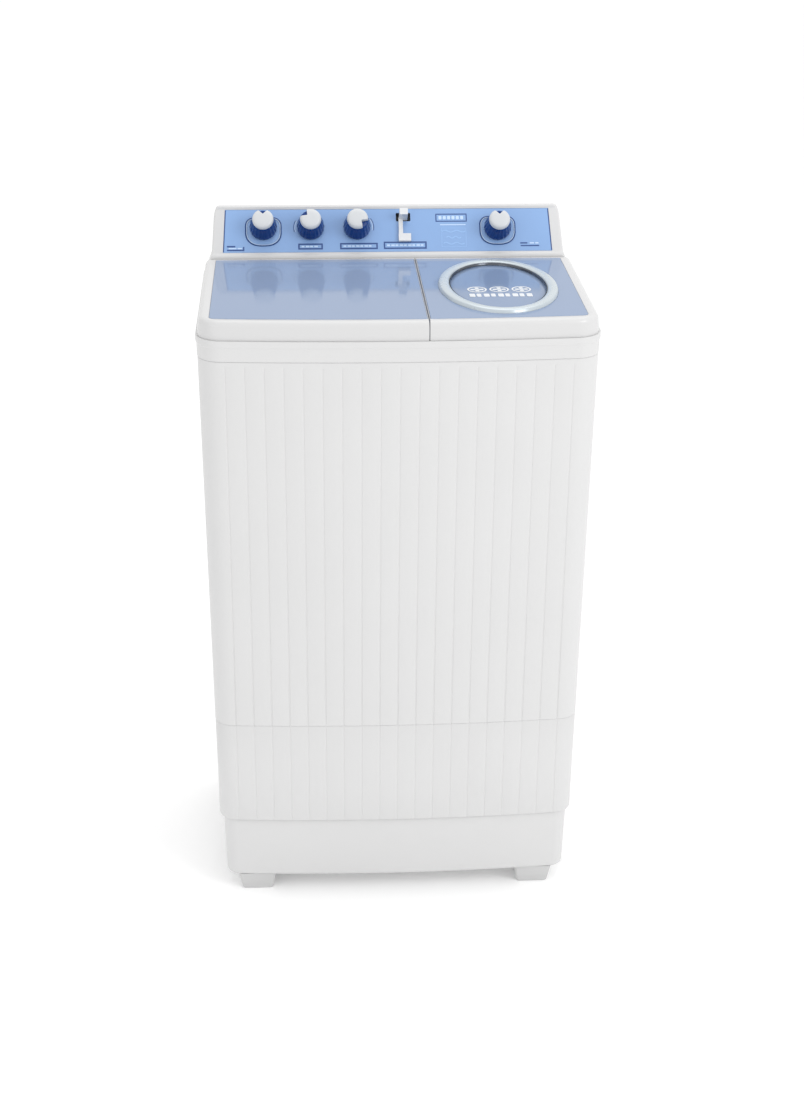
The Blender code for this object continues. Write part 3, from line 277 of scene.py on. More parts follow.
def merge(bm, other):
    """Adds another bmesh's shapes to this one, as separate shells."""
    mesh = bpy.data.meshes.new("merge")
    other.to_mesh(mesh)
    other.free()
    bm.from_mesh(mesh)
    bpy.data.meshes.remove(mesh)
    return bm


def moved(bm, matrix):
    bmesh.ops.transform(bm, matrix=matrix, verts=bm.verts)
    return bm


def arc(centre, radius, start, end, steps):
    turns = [start + (end - start) * i / steps for i in range(steps + 1)]
    return [(centre[0] + radius * cos(turn), centre[1] + radius * sin(turn)) for turn in turns]


def rounded_rect(centre, half, radius, steps=8):
    points = []
    for i, (sx, sy) in enumerate(((-1, -1), (1, -1), (1, 1), (-1, 1))):
        middle = (centre[0] + sx * (half[0] - radius), centre[1] + sy * (half[1] - radius))
        points += arc(middle, radius, pi + i * pi / 2, pi * 1.5 + i * pi / 2, steps)
    return points


def ellipse(centre, rx, ry, steps=96):
    turns = [2 * pi * i / steps for i in range(steps)]
    return [(centre[0] + rx * cos(turn), centre[1] + ry * sin(turn)) for turn in turns]


def along_x(bm, x_from, centre):
    return moved(bm, Matrix.Translation((x_from, *centre)) @ Matrix.Rotation(pi / 2, 4, "Y"))


def along_y(bm, y_from, centre):
    return moved(bm, Matrix.Translation((centre[0], y_from, centre[1])) @ Matrix.Rotation(-pi / 2, 4, "X"))


def smooth(mesh, angle=35.0):
    mesh.shade_smooth()
    mesh.set_sharp_from_angle(angle=radians(angle))


def solid(name, bm, mat):
    bmesh.ops.recalc_face_normals(bm, faces=bm.faces)
    mesh = bpy.data.meshes.new(name)
    bm.to_mesh(mesh)
    bm.free()
    mesh.materials.append(mat)
    made = bpy.data.objects.new(name, mesh)
    bpy.context.scene.collection.objects.link(made)
    return made


def apply_modifiers(obj):
    graph = bpy.context.evaluated_depsgraph_get()
    mesh = bpy.data.meshes.new_from_object(obj.evaluated_get(graph))
    obj.modifiers.clear()
    old, obj.data = obj.data, mesh
    bpy.data.meshes.remove(old)


def combine(obj, bm, operation="DIFFERENCE"):
    tool = solid("tool", bm, obj.data.materials[0])
    modifier = obj.modifiers.new("combine", "BOOLEAN")
    modifier.operation = operation
    modifier.object = tool
    apply_modifiers(obj)
    bpy.data.objects.remove(tool)


def cut(obj, outline, low, high):
    """A hole of that plan outline between two levels."""
    combine(obj, skin([at(outline, low), at(outline, high)]))


def bore_y(obj, radius, reach, y, centre, steps=40):
    """A round hole along Y, to reach either side of y."""
    combine(obj, along_y(post(radius, -reach, reach, steps), y, centre))


def bore_rings(obj, rings, radius, low, high, steps):
    """Upright holes in rings of (radius, count) round the object's own middle."""
    holes = bmesh.new()
    for reach, count in rings:
        for i in range(count):
            turn = 2 * pi * i / count
            merge(holes, post(radius, low, high, steps, (reach * cos(turn), reach * sin(turn))))
    combine(obj, holes)


def soften(obj, width, segments=2, angle=32.0):
    modifier = obj.modifiers.new("soften", "BEVEL")
    modifier.width = width
    modifier.segments = segments
    modifier.limit_method = "ANGLE"
    modifier.angle_limit = radians(angle)
    modifier.harden_normals = False
    apply_modifiers(obj)


def place(obj, body, slot, nodes=(), angle=35.0):
    """Moves a finished piece into the world's frame and puts it on its body."""
    obj.data.transform(Matrix.Translation((0, CENTRE_Y, FOOT_DROP)))
    smooth(obj.data, angle)
    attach(obj, body)
    if nodes:
        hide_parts(*nodes)
    return obj


# ---- outlines


def front_y(x, half_w, half_d, radius):
    return -half_d - FRONT_BOW * (1 - (x / (half_w - radius)) ** 2)


def groove_places(count):
    """The points of a face's grooves, count of them either side of the middle one."""
    return [(k * GROOVE_PITCH + along, part) for k in range(-count, count + 1) for along, part in GROOVE]


def body_outline(inset, groove=0.0, ribbed=False):
    """The body's plan outline, anticlockwise from above."""
    half_w, half_d = RIM_HALF_W - inset, RIM_HALF_D - inset
    radius = CORNER_R - inset
    straight_x, straight_y = half_w - radius, half_d - radius
    if ribbed:
        places = groove_places(FRONT_GROOVES)
        front = [(x, front_y(x, half_w, half_d, radius) + groove * part) for x, part in places]
        side = [(half_w - groove * part, y) for y, part in groove_places(SIDE_GROOVES)]
    else:
        places = [straight_x * part / 20 for part in range(-19, 20)]
        front = [(x, front_y(x, half_w, half_d, radius)) for x in places]
        side = []
    steps = 14
    points = arc((-straight_x, -straight_y), radius, pi, 1.5 * pi, steps) + front
    points += arc((straight_x, -straight_y), radius, 1.5 * pi, 2 * pi, steps) + side
    points += arc((straight_x, straight_y), radius, 0, 0.5 * pi, steps)
    points += arc((-straight_x, straight_y), radius, 0.5 * pi, pi, steps)
    points += [(-x, y) for x, y in reversed(side)]
    return points


def body_inset(z):
    return 0.0017 + (BAND_Z - z) * BODY_DRAFT


def cabinet_back(z):
    return RIM_HALF_D - body_inset(z) - CABINET_SET_BACK


def lid_outline(side, edge, gap, back, radius=None):
    half_w, half_d = RIM_HALF_W - edge, RIM_HALF_D - edge
    radius = radius or CORNER_R - edge
    inner = side * LID_GAP_X + gap
    straight = half_w - radius
    fronts = [inner + (straight - inner) * i / 14 for i in range(14)]
    points = [(inner, LID_BACK_Y - back)]
    points += [(x, front_y(x, half_w, half_d, radius)) for x in fronts]
    points += arc((straight, -half_d + radius), radius, -pi / 2, 0, 12)
    points.append((half_w, LID_BACK_Y - back))
    return [(side * x, y) for x, y in points]


# ---- body


def make_base():
    low, high = 0.0225, 0.019
    sections = (
        (low + 0.006, FOOT_H),
        (low + 0.0034, FOOT_H + 0.0008),
        (low + 0.0012, FOOT_H + 0.0032),
        (low, FOOT_H + 0.007),
        (high, STEP_Z),
        (high, STEP_Z + 0.012),
        (high + WALL, STEP_Z + 0.012),
        (high + WALL, STEP_Z),
        (low + WALL + 0.001, BASE_FLOOR_Z),
    )
    tray = solid("plinth", skin([at(body_outline(inset), z) for inset, z in sections]), WHITE)
    bore_y(tray, 0.0165, 0.03, RIM_HALF_D - 0.02, (OUTLET_X, OUTLET_Z))
    place(tray, "root", "white_plastic", ["base_tray"])


def make_feet():
    base = -FOOT_DROP
    rows = (0.0262, base), (0.0278, base + 0.0005), (0.0286, base + 0.0022), (0.0345, FOOT_H - GAP)
    for end, y in (("front", -FOOT_Y), ("rear", FOOT_Y)):
        for side, x in (("left", -FOOT_X), ("right", FOOT_X)):
            loops = [at(rounded_rect((x, y), (half, half - 0.002), 0.006), z) for half, z in rows]
            foot = solid(f"foot_block_{end}_{side}", skin(loops), FOOT)
            place(foot, "root", "white_plastic", [f"foot_{end}_{side}"])


def ribbed_ring(name, sections):
    """A wall that goes all round the body, from rows of (inset, z, depth of the grooves)."""
    rows = [at(body_outline(inset, groove, True), z) for inset, z, groove in sections]
    return solid(name, skin(rows, True), WHITE)


def make_skirt():
    top, low, deep = SEAM_Z - GAP, STEP_Z, GROOVE_DEPTH
    out_low, out_top = body_inset(low) + SKIRT_SET_BACK, body_inset(top) + SKIRT_SET_BACK
    sections = [
        (out_low + 0.0016, low, deep * 0.6),
        (out_low + 0.0005, low + 0.0006, deep * 0.9),
        (out_low, low + 0.0018, deep),
        (out_top, top - 0.0012, deep),
        (out_top + 0.0008, top, deep),
        (out_top + WALL + deep, top, 0.0),
        (out_low + WALL + deep, low, 0.0),
    ]
    place(ribbed_ring("lower_band", sections), "root", "white_plastic", ["lower_skirt"])


def make_cabinet():
    top, low, deep = BAND_Z - GAP, SEAM_Z, GROOVE_DEPTH
    out_low, out_top = body_inset(low) + CABINET_SET_BACK, body_inset(top) + CABINET_SET_BACK
    sections = [
        (out_low + 0.0009, low, deep),
        (out_low, low + 0.0012, deep),
        (out_top, top - PLAIN_STRIP - 0.003, deep),
        (out_top, top - PLAIN_STRIP - 0.001, deep * 0.85),
        (out_top, top - PLAIN_STRIP + 0.001, deep * 0.4),
        (out_top, top - PLAIN_STRIP + 0.003, 0.0),
        (out_top, top - 0.0012, 0.0),
        (out_top + 0.001, top, 0.0),
        (out_top + WALL + deep, top, 0.0),
        (out_low + WALL + deep, low, 0.0),
    ]
    shell = ribbed_ring("cabinet", sections)
    low, high = SERVICE_Z
    opening = box_mesh((-SERVICE_HALF_W, RIM_HALF_D - 0.03, low), (SERVICE_HALF_W, RIM_HALF_D + 0.02, high))
    combine(shell, opening)
    bore_y(shell, 0.0085, 0.03, RIM_HALF_D - 0.01, (GLAND_X, GLAND_Z), 32)
    place(shell, "root", "white_plastic", ["cabinet_shell"])


def screw_head(x, y, z):
    """A pan head with a cross recess, facing +Y."""
    head = turned([(0, 0), (0.0042, 0), (0.0042, 0.0008), (0.0036, 0.0019), (0.002, 0.0025), (0, 0.0027)], 24)
    made = solid("screw", head, STEEL)
    combine(made, box_mesh((-0.0024, -0.00045, 0.0012), (0.0024, 0.00045, 0.01)))
    combine(made, box_mesh((-0.00045, -0.0024, 0.0012), (0.00045, 0.0024, 0.01)))
    bm = bmesh.new()
    bm.from_mesh(made.data)
    bpy.data.objects.remove(made)
    return along_y(bm, y, (x, z))


def make_service_cover():
    """The cover with its pressed border and louvres, and all the screws at the back."""
    half, thick = SERVICE_HALF_W + COVER_LAP[0], 0.0026
    low, high = SERVICE_Z[0] - COVER_LAP[1], SERVICE_Z[1] + COVER_LAP[1]

    def face(shrink, out):
        size = (half - shrink, (high - low) / 2 - shrink)
        corners = rounded_rect((0, (low + high) / 2), size, max(0.004, 0.012 - shrink * 0.5), 8)
        return [(x, cabinet_back(z) + out, z) for x, z in corners]

    out = GAP + thick
    rows = [
        face(0, GAP), face(0, out - 0.001), face(0.0006, out - 0.0002), face(0.0018, out), face(0.013, out),
        face(0.0145, out - 0.0004), face(0.0165, out - 0.0016)
    ]
    cover = solid("service_cover", skin(rows), WHITE)
    louvres = bmesh.new()
    for z in LOUVRES:
        merge(louvres, box_mesh((-0.1, RIM_HALF_D - 0.05, z), (0.1, RIM_HALF_D + 0.03, z + 0.005)))
    combine(cover, louvres)
    place(cover, "root", "white_plastic", ["rear_cover"])

    hoods = bmesh.new()
    for z in LOUVRES:
        y = cabinet_back(z) + out - 0.0018
        bulge = (0.0045, 0.0), (0.0085, 0.0), (0.008, 0.0016), (0.0062, 0.003), (0.0045, 0.0034)
        ends = (-0.1015, 0.2), (-0.097, 1.0), (0.097, 1.0), (0.1015, 0.2)
        merge(hoods, skin([[(x, y + back * reach, z + up) for up, back in bulge] for x, reach in ends]))
    place(solid("louvre_hoods", hoods, WHITE), "root", "white_plastic", angle=50.0)

    screws = bmesh.new()
    middle = (low + high) / 2
    for x in (-0.197, 0.0, 0.197):
        for z in (low + 0.0075, high - 0.0075):
            merge(screws, screw_head(x, cabinet_back(z) + out, z))
    for x in (-0.1975, 0.1975):
        merge(screws, screw_head(x, cabinet_back(middle) + out, middle))
    for x, z in CABINET_SCREWS:
        merge(screws, screw_head(x, cabinet_back(z), z))
    place(solid("rear_screws", screws, STEEL), "root", "steel", angle=30.0)


def make_nozzle():
    """The water inlet: a collar, then a barbed spout."""
    length = NOZZLE_OUT + 0.012
    nozzle = [
        (0.0055, 0.0), (0.009, 0.0), (0.009, 0.0094), (0.0146, 0.0094), (0.015, 0.0098), (0.015, 0.0121),
        (0.0146, 0.0125), (0.01, 0.013)
    ]
    for i in range(4):
        base = 0.015 + i * 0.0042
        nozzle += [(0.009, base), (0.0097, base + 0.0006), (0.009, base + 0.0036)]
    nozzle += [(0.0088, length - 0.0008), (0.0082, length), (0.0055, length)]
    back = RIM_HALF_D + NOZZLE_OUT - length
    piece = solid("hose_nozzle", along_y(turned(nozzle, 48), back, (NOZZLE_X, NOZZLE_Z)), INNER)
    place(piece, "root", "inner_plastic", ["water_inlet"])


def make_gland():
    gland = [
        (0.0035, -0.012), (0.008, -0.012), (0.008, GAP), (0.0126, GAP), (0.013, 0.0007), (0.013, 0.0036),
        (0.0124, 0.0042), (0.0096, 0.0046), (0.0092, 0.0062), (0.0084, 0.0066), (0.0082, 0.0082),
        (0.0073, 0.0086), (0.007, 0.0104), (0.0062, 0.0116), (0.0052, 0.012), (0.0035, 0.012)
    ]
    piece = solid("cord_gland", along_y(turned(gland, 40), cabinet_back(GLAND_Z), (GLAND_X, GLAND_Z)), RUBBER)
    place(piece, "root", "rubber", ["cable_gland"])


def make_top_frame():
    sections = (
        (0.0025, BAND_Z),
        (0.0019, BAND_Z + 0.0006),
        (0.0017, BAND_Z + 0.002),
        (0.0015, RIM_Z - 0.014),
        (0.0011, RIM_Z - 0.0122),
        (0.0003, RIM_Z - 0.0108),
        (0.0, RIM_Z - 0.009),
        (0.0, RIM_Z - 0.0007),
        (0.0001, RIM_Z - 0.0003),
        (0.0004, RIM_Z - 0.0001),
        (0.0015 + WALL, RIM_Z - 0.0001),
        (0.0015 + WALL + 0.0004, DECK_Z + 0.002),
        (0.0015 + WALL + 0.002, DECK_Z),
    )
    top = solid("top_rim_and_deck", skin([at(body_outline(inset), z) for inset, z in sections]), WHITE)
    inside = body_outline(0.0017 + WALL)
    cut(top, inside, BAND_Z - 0.01, DECK_Z - 0.004)
    room = WALL + 0.001
    wash = rounded_rect((WASH_X, WASH_Y), (WASH_HALF[0] + room, WASH_HALF[1] + room), 0.053, 10)
    cut(top, wash, DECK_Z - 0.02, DECK_Z + 0.02)
    combine(top, post(SPIN_TUB_R + room, DECK_Z - 0.02, DECK_Z + 0.02, 64, (SPIN_X, SPIN_Y)))
    for label, (low, high) in PINS.items():
        for x in (low + 0.016, high - 0.016):
            combine(top, tab(x - 0.004, x + 0.004, DECK_Z - 0.002), "UNION")
        combine(top, pin_bore(label))
    place(top, "root", "white_plastic", ["top_frame"])


def make_deck_fittings():
    """The rubber strip that both lids close on, and the screws beside the tubs."""
    half = [(0.003, 0.0), (0.0026, 0.0056), (0.001, 0.0068)]
    buffer = half + [(-x, z) for x, z in reversed(half)]
    ends = [[(LID_GAP_X + x, y, DECK_Z + GAP + z) for x, z in buffer] for y in (-0.23, 0.148)]
    place(solid("lid_buffer", skin(ends), RUBBER), "root", "rubber", (), 40.0)

    screws = bmesh.new()
    for x, y in DECK_SCREWS:
        bolt = moved(screw_head(0, 0, 0), Matrix.Rotation(pi / 2, 4, "X"))
        merge(screws, moved(bolt, Matrix.Translation((x, y, DECK_Z))))
    place(solid("deck_screws", screws, STEEL), "root", "steel", angle=30.0)


def tab(low, high, reach_z):
    """A hinge knuckle between two places along X, joined to what lies at reach_z."""
    start = 0 if reach_z < HINGE_Z else pi
    rounded = arc((HINGE_Y, HINGE_Z), KNUCKLE_R, start, start + pi, 20)
    outline = rounded + [(rounded[-1][0], reach_z), (rounded[0][0], reach_z)]
    return skin([[(x, y, z) for y, z in outline] for x in (low, high)])


def pin_bore(label):
    """The bore for a lid's hinge pins, a little longer than their run."""
    low, high = PINS[label]
    return along_x(post(PIN_HOLE_R, 0, high - low + 0.01, 24), low - 0.005, (HINGE_Y, HINGE_Z))


# ---- lids


def make_lid(label, side):
    """A lid's moulded frame, its ribs underneath, and its glossy panel."""
    name = body = f"{label}_lid"
    ceiling = LID_Z - 0.0055
    rows = [
        (0.0095, 0.0042, 0.003, ceiling),
        (0.0062, 0.0036, 0.003, RIM_Z + GAP),
        (0.0034, 0.001, 0.0006, RIM_Z + 0.0001),
        (0.003, 0.0007, 0.0001, RIM_Z + 0.0002),
        (0.0029, 0.0007, 0.0, RIM_Z + 0.0004),
        (0.0037, 0.0007, 0.0, RIM_Z + 0.011),
        (0.0049, 0.0007, 0.0, LID_Z - 0.01),
    ]
    for i in range(1, 8):
        turn = pi / 2 * i / 7
        drop = 1 - cos(turn)
        z = LID_Z - 0.01 + 0.01 * sin(turn)
        rows.append((0.0049 + 0.0095 * drop, 0.0007 + 0.0007 * drop, 0.0012 * drop, z))
    loops = [at(lid_outline(side, edge, gap, back), z) for edge, gap, back, z in rows]
    edge = PANEL_INSET
    loops += [
        at(lid_outline(side, edge - 0.0008, 0.0018, 0.0042, PANEL_CORNER_R + 0.0008), LID_Z),
        at(lid_outline(side, edge - 0.0002, 0.0021, 0.0048, PANEL_CORNER_R + 0.0002), LID_Z - 0.0003),
        at(lid_outline(side, edge, 0.0022, 0.005, PANEL_CORNER_R), LID_Z - 0.0009),
        at(lid_outline(side, edge, 0.0022, 0.005, PANEL_CORNER_R), SEAT_Z),
    ]
    lid = solid(f"{name}_cover", skin(loops), WHITE_GLOSS)
    wall = sorted((LID_GAP_X - side * 0.01, side * (LID_END_X + 0.002)))
    combine(lid, box_mesh((wall[0], HINGE_Y - 0.006, HINGE_Z - 0.03), (wall[1], HINGE_Y + 0.05, ceiling)))
    rounded = arc((HINGE_Y, HINGE_Z), LID_END_R, -pi / 2, 0, 20)
    low, back = HINGE_Z - 0.03, HINGE_Y + 0.05
    outline = [(HINGE_Y, low)] + rounded + [(back, HINGE_Z), (back, low)]
    combine(lid, skin([[(side * x, y, z) for y, z in outline] for x in (LID_END_X, 0.4)]))
    low, high = PINS[label]
    for x in (low + 0.032, high - 0.032):
        combine(lid, tab(x - 0.006, x + 0.006, ceiling + 0.001), "UNION")
    combine(lid, pin_bore(label))
    if side > 0:
        cut(lid, ellipse((RING_X, RING_Y), RING_RX - 0.028, RING_RY - 0.028), *THROUGH_LID)
    place(lid, body, "white_plastic", [f"{name}_frame"])

    outline = lid_outline(side, edge + GAP, 0.0025, 0.0053, PANEL_CORNER_R)
    inner = lid_outline(side, edge + GAP + 0.0006, 0.0031, 0.0059, PANEL_CORNER_R - 0.0006)
    loops = [at(outline, SEAT_Z + GAP), at(outline, LID_Z - 0.0003), at(inner, LID_Z + 0.0002)]
    panel = solid(f"{name}_sheet", skin(loops), PANEL)
    if side > 0:
        cut(panel, ellipse((RING_X, RING_Y), RING_RX + GAP, RING_RY + GAP), *THROUGH_LID)
    place(panel, body, "blue_panel", [f"{name}_panel"], angle=25.0)
    make_ribs(label, side, body)
    make_gap_shade_strip(label, side, body)


def make_gap_shade_strip(label, side, body):
    """A grey strip down the lid's side that faces the other lid, which reads as a seal when the lids are
    open; its colour is painted shade for the gap between the closed lids.
    """
    low, high = RIM_Z + 0.002, LID_Z - 0.0018
    outline = [
        (0.126, low), (0.126, high - 0.0055), (0.148, high - 0.003), (0.148, high), (-0.224, high),
        (-0.231, high - 0.0042), (-0.235, high - 0.0115), (-0.2362, low)
    ]
    spots = [LID_GAP_X + side * 0.0003, LID_GAP_X + side * 0.0009]
    strip = skin([[(x, y, z) for y, z in outline] for x in spots])
    place(solid(f"{label}_lid_gap_shade_strip", strip, GAP_SHADE), body, "rubber", (), 30.0)


def make_ribs(label, side, body):
    """Stiffening ribs under the lid, clear of the deck and of the tubs' flanges."""
    ribs = bmesh.new()
    low_z, high_z = LID_Z - 0.0115, LID_Z - 0.0054
    inner = side * LID_GAP_X + 0.012
    outer = 0.31
    ends = sorted((side * inner, side * outer))
    for y in (-0.175, 0.105) if side > 0 else (-0.175, -0.105, -0.035, 0.035, 0.105):
        merge(ribs, box_mesh((ends[0], y - 0.0008, low_z), (ends[1], y + 0.0008, high_z)))
    count = 3 if side > 0 else 6
    for i in range(count):
        x = ends[0] + (ends[1] - ends[0]) * i / (count - 1)
        if side > 0 and i == 1:
            continue
        merge(ribs, box_mesh((x - 0.0008, -0.19, low_z), (x + 0.0008, 0.112, high_z)))
    place(solid(f"{label}_lid_ribs", ribs, WHITE_GLOSS), body, "white_plastic")


def oval(inset, z):
    return at(ellipse((RING_X, RING_Y), RING_RX - inset, RING_RY - inset), z)


def make_ring():
    base = SEAT_Z + GAP
    profile = [(0.0, base), (0.0, LID_Z + 0.001), (0.0006, LID_Z + 0.0024)]
    for i in range(0, 13):
        turn = pi * (1 - i / 12)
        inset = RING_W / 2 + (RING_W / 2 - 0.001) * cos(turn)
        profile.append((inset, LID_Z + 0.003 + (RING_TOP_Z - LID_Z - 0.003) * sin(turn) ** 0.75))
    profile += [(RING_W, LID_Z + 0.001), (RING_W, base)]
    ring = solid("window_ring", skin([oval(inset, z) for inset, z in profile], True), SILVER)
    place(ring, "spin_lid", "chrome", ["spin_lid_ring"], 50.0)


def make_window():
    """The window, a dark lining of the ring round it whose colour is painted shade in the ring's recess, and
    the marks on it.
    """
    base = SEAT_Z + GAP
    rows = (
        (0.0, base), (0.0, base + 0.0016), (0.0006, base + 0.002), (0.012, base + 0.0021),
        (0.03, base + 0.0024), (0.06, base + 0.0028)
    )
    window = solid("sight_window", skin([oval(RING_W + GAP + inset, z) for inset, z in rows]), WINDOW)
    place(window, "spin_lid", "window_plastic", ["spin_window"], 50.0)
    wall = [
        (RING_W - 0.0002, base + 0.0018), (RING_W - 0.0002, RING_TOP_Z - 0.0026),
        (RING_W + 0.0004, RING_TOP_Z - 0.003), (RING_W + 0.0012, base + 0.0034),
        (RING_W + 0.0014, base + 0.0022)
    ]
    # The lining's dark colour is painted shade on the ring's inner wall
    lining = solid("window_ring_wall_shade", skin([oval(inset, z) for inset, z in wall], True), RING_WALL_SHADE)
    place(lining, "spin_lid", "chrome", (), 50.0)
    make_window_marks(base + 0.0029)


def window_piece(name, shapes, z):
    """White marks laid on the window, each an outline of (along, back) from the window's middle."""
    bm = bmesh.new()
    for shape in shapes:
        outline = [(RING_X + x, RING_Y + y) for x, y in shape]
        merge(bm, skin([at(outline, z - 0.0012), at(outline, z + 0.0002)]))
    place(solid(name, bm, MARK), "spin_lid", "white_plastic", (), 25.0)


def make_window_marks(z):
    """Three fans, as plain signs, over a row of short bars."""
    marks, rings = [], bmesh.new()
    for x in (-0.0375, 0.0, 0.0375):
        hub = (x, -0.0185)
        for quarter in range(4):
            turn = pi / 2 * quarter + 0.2
            across, up = cos(turn), sin(turn)
            blade = [(hub[0] + u * across - v * up, hub[1] + u * up + v * across) for u, v in FAN_BLADE]
            marks.append(blade)
        rows = []
        for radius, heights in ((0.0165, (-0.0012, 0.0002)), (0.0137, (0.0002, -0.0012))):
            circle = ellipse((RING_X + hub[0], RING_Y + hub[1]), radius, radius, 40)
            rows += [at(circle, z + height) for height in heights]
        merge(rings, skin(rows, True))
    place(solid("window_sign_rings", rings, MARK), "spin_lid", "white_plastic", (), 25.0)
    for i in range(9):
        start = -0.053 + i * 0.012
        marks.append(bar(start, -0.061, start + 0.0094 - 0.0018 * (i % 2), -0.044, 0.002))
    window_piece("window_signs", marks, z)


# ---- console


def console_section(half_w, front, back, z, radius):
    small = 0.004
    points = arc((-half_w + small, front + small), small, pi, 1.5 * pi, 6)
    points += arc((half_w - small, front + small), small, 1.5 * pi, 2 * pi, 6)
    points += arc((half_w - radius, back - radius), radius, 0, 0.5 * pi, 12)
    points += arc((-half_w + radius, back - radius), radius, 0.5 * pi, pi, 12)
    return at(points, z)


def slope_y(z):
    run, rise = FASCIA_HIGH[0] - FASCIA_LOW[0], FASCIA_HIGH[1] - FASCIA_LOW[1]
    return FASCIA_LOW[0] + (z - FASCIA_LOW[1]) * run / rise


def console_rows(shrink):
    front, slope, big = CONSOLE_FRONT_Y + shrink, shrink * 2.2, CORNER_R - shrink
    return [
        (0.326, front, 0.2285, RIM_Z + GAP - 2 * shrink, big),
        (0.3215, front, 0.228, 1.068, big - 0.004),
        (0.316, front, 0.2275, 1.081, big - 0.01),
        (0.314, slope_y(1.0865) + slope, 0.227, 1.0865, 0.024 - shrink),
        (0.3115, slope_y(1.12) + slope, 0.2265, 1.12, 0.016 - shrink),
        (0.3095, slope_y(1.145) + slope, 0.226, 1.145, 0.01 - shrink),
        (0.3065, slope_y(1.1545) + slope, 0.2245, 1.1545, 0.0065),
        (0.3015, slope_y(1.157) + slope, 0.2215, CONSOLE_TOP_Z, 0.0042),
    ]


def between(rows, steps):
    """Rows run through by a smooth curve, with steps rows between each pair."""
    made = []
    for i in range(len(rows) - 1):
        before, a, b = rows[max(i - 1, 0)], rows[i], rows[i + 1]
        after = rows[min(i + 2, len(rows) - 1)]
        for k in range(steps):
            t = k / steps
            weights = (
                -0.5 * t + t * t - 0.5 * t**3,
                1 - 2.5 * t * t + 1.5 * t**3,
                0.5 * t + 2 * t * t - 1.5 * t**3,
                -0.5 * t * t + 0.5 * t**3,
            )
            near = (before, a, b, after)
            made.append(tuple(sum(w * row[j] for w, row in zip(weights, near)) for j in range(5)))
    return made + [rows[-1]]


def fascia_place(bm):
    return moved(bm, Matrix.Translation((0, *FASCIA_LOW)) @ Matrix.Rotation(FASCIA_TURN, 4, "X"))


def fascia_outline(shrink):
    low, high = FASCIA_HALF_W - shrink, FASCIA_HALF_W - 0.004 - shrink
    bottom, top = 0.002 + shrink, FASCIA_LEN - 0.003 - shrink
    return [(-low, bottom), (low, bottom), (high, top), (-high, top)]


def slot_outline(x, up, grow=0.0):
    """The lever's slot, for a lever at (x, up)."""
    (left, low), (right, high) = LEVER_SLOT
    half = ((right - left) / 2 + grow, (high - low) / 2 + grow)
    return rounded_rect((x + (left + right) / 2, up + (low + high) / 2), half, 0.002, 5)


def shaft_holes():
    holes = bmesh.new()
    for x, up, _ in KNOBS.values():
        merge(holes, post(0.0055, -0.02, 0.01, 32, (x, up)))
    slot = slot_outline(LEVER_X, LEVER_UP)
    merge(holes, skin([at(slot, -0.02), at(slot, 0.01)]))
    return fascia_place(holes)


def make_console():
    rows = console_rows(0.0)
    fine = rows[:1]
    fine += [tuple(a + (b - a) * k / 4 for a, b in zip(rows[0], rows[1])) for k in (1, 2, 3)]
    fine += between(rows[1:4], 5)[:-1] + between(rows[3:7], 4)
    half, y, back, z, radius = rows[6]
    for i in range(1, 7):
        turn = pi / 2 * i / 6
        drop, rise = 1 - cos(turn), sin(turn)
        plan = (half - 0.0055 * drop, y + 0.0018 * drop, back - 0.004 * drop)
        fine.append((*plan, z + 0.0045 * rise, radius - 0.002 * rise))
    housing = solid("console", skin([console_section(*row) for row in fine]), WHITE_GLOSS)
    rows = console_rows(WALL)[:6]
    hollow = [console_section(half - WALL, y, back - WALL, z, radius) for half, y, back, z, radius in rows]
    combine(housing, skin(hollow))
    seat = skin([at(fascia_outline(-GAP), -FASCIA_T - GAP), at(fascia_outline(-GAP), 0.02)])
    combine(housing, fascia_place(seat))
    combine(housing, shaft_holes())
    bore_y(housing, 0.0095, 0.02, 0.225, (NOZZLE_X, NOZZLE_Z))
    place(housing, "root", "white_plastic", ["console_housing"], 40.0)

    outline, inner = fascia_outline(0.0), fascia_outline(0.0005)
    plate = skin([at(outline, -FASCIA_T), at(outline, -0.0004), at(inner, 0.0)])
    fascia = solid("fascia_sheet", fascia_place(plate), FASCIA)
    combine(fascia, shaft_holes())
    place(fascia, "root", "fascia_blue", ["fascia_panel"], 25.0)


def decal(name, shapes, ink, height=0.00012):
    """Printed shapes, each an outline of (along, up) in metres on the fascia."""
    bm = bmesh.new()
    for shape in shapes:
        merge(bm, skin([at(shape, 0.00002), at(shape, height)]))
    place(solid(name, fascia_place(bm), ink), "root", "fascia_blue", (), 25.0)


def bar(u0, v0, u1, v1, radius=0.0008):
    half = (abs(u1 - u0) / 2, abs(v1 - v0) / 2)
    return rounded_rect(((u0 + u1) / 2, (v0 + v1) / 2), half, min(radius, half[0] * 0.9, half[1] * 0.9), 4)


def stroke(points, width):
    """A line of that width through the points, as one closed outline."""
    left, right = [], []
    for i, (u, v) in enumerate(points):
        a, b = points[max(i - 1, 0)], points[min(i + 1, len(points) - 1)]
        du, dv = b[0] - a[0], b[1] - a[1]
        size = hypot(du, dv)
        left.append((u - dv / size * width / 2, v + du / size * width / 2))
        right.append((u + dv / size * width / 2, v - du / size * width / 2))
    return left + right[::-1]


def frame_bars(u0, v0, u1, v1, w):
    """Four bars round a box."""
    return [
        bar(u0, v0, u1, v0 + w), bar(u0, v1 - w, u1, v1), bar(u0, v0 + w, u0 + w, v1 - w),
        bar(u1 - w, v0 + w, u1, v1 - w)
    ]


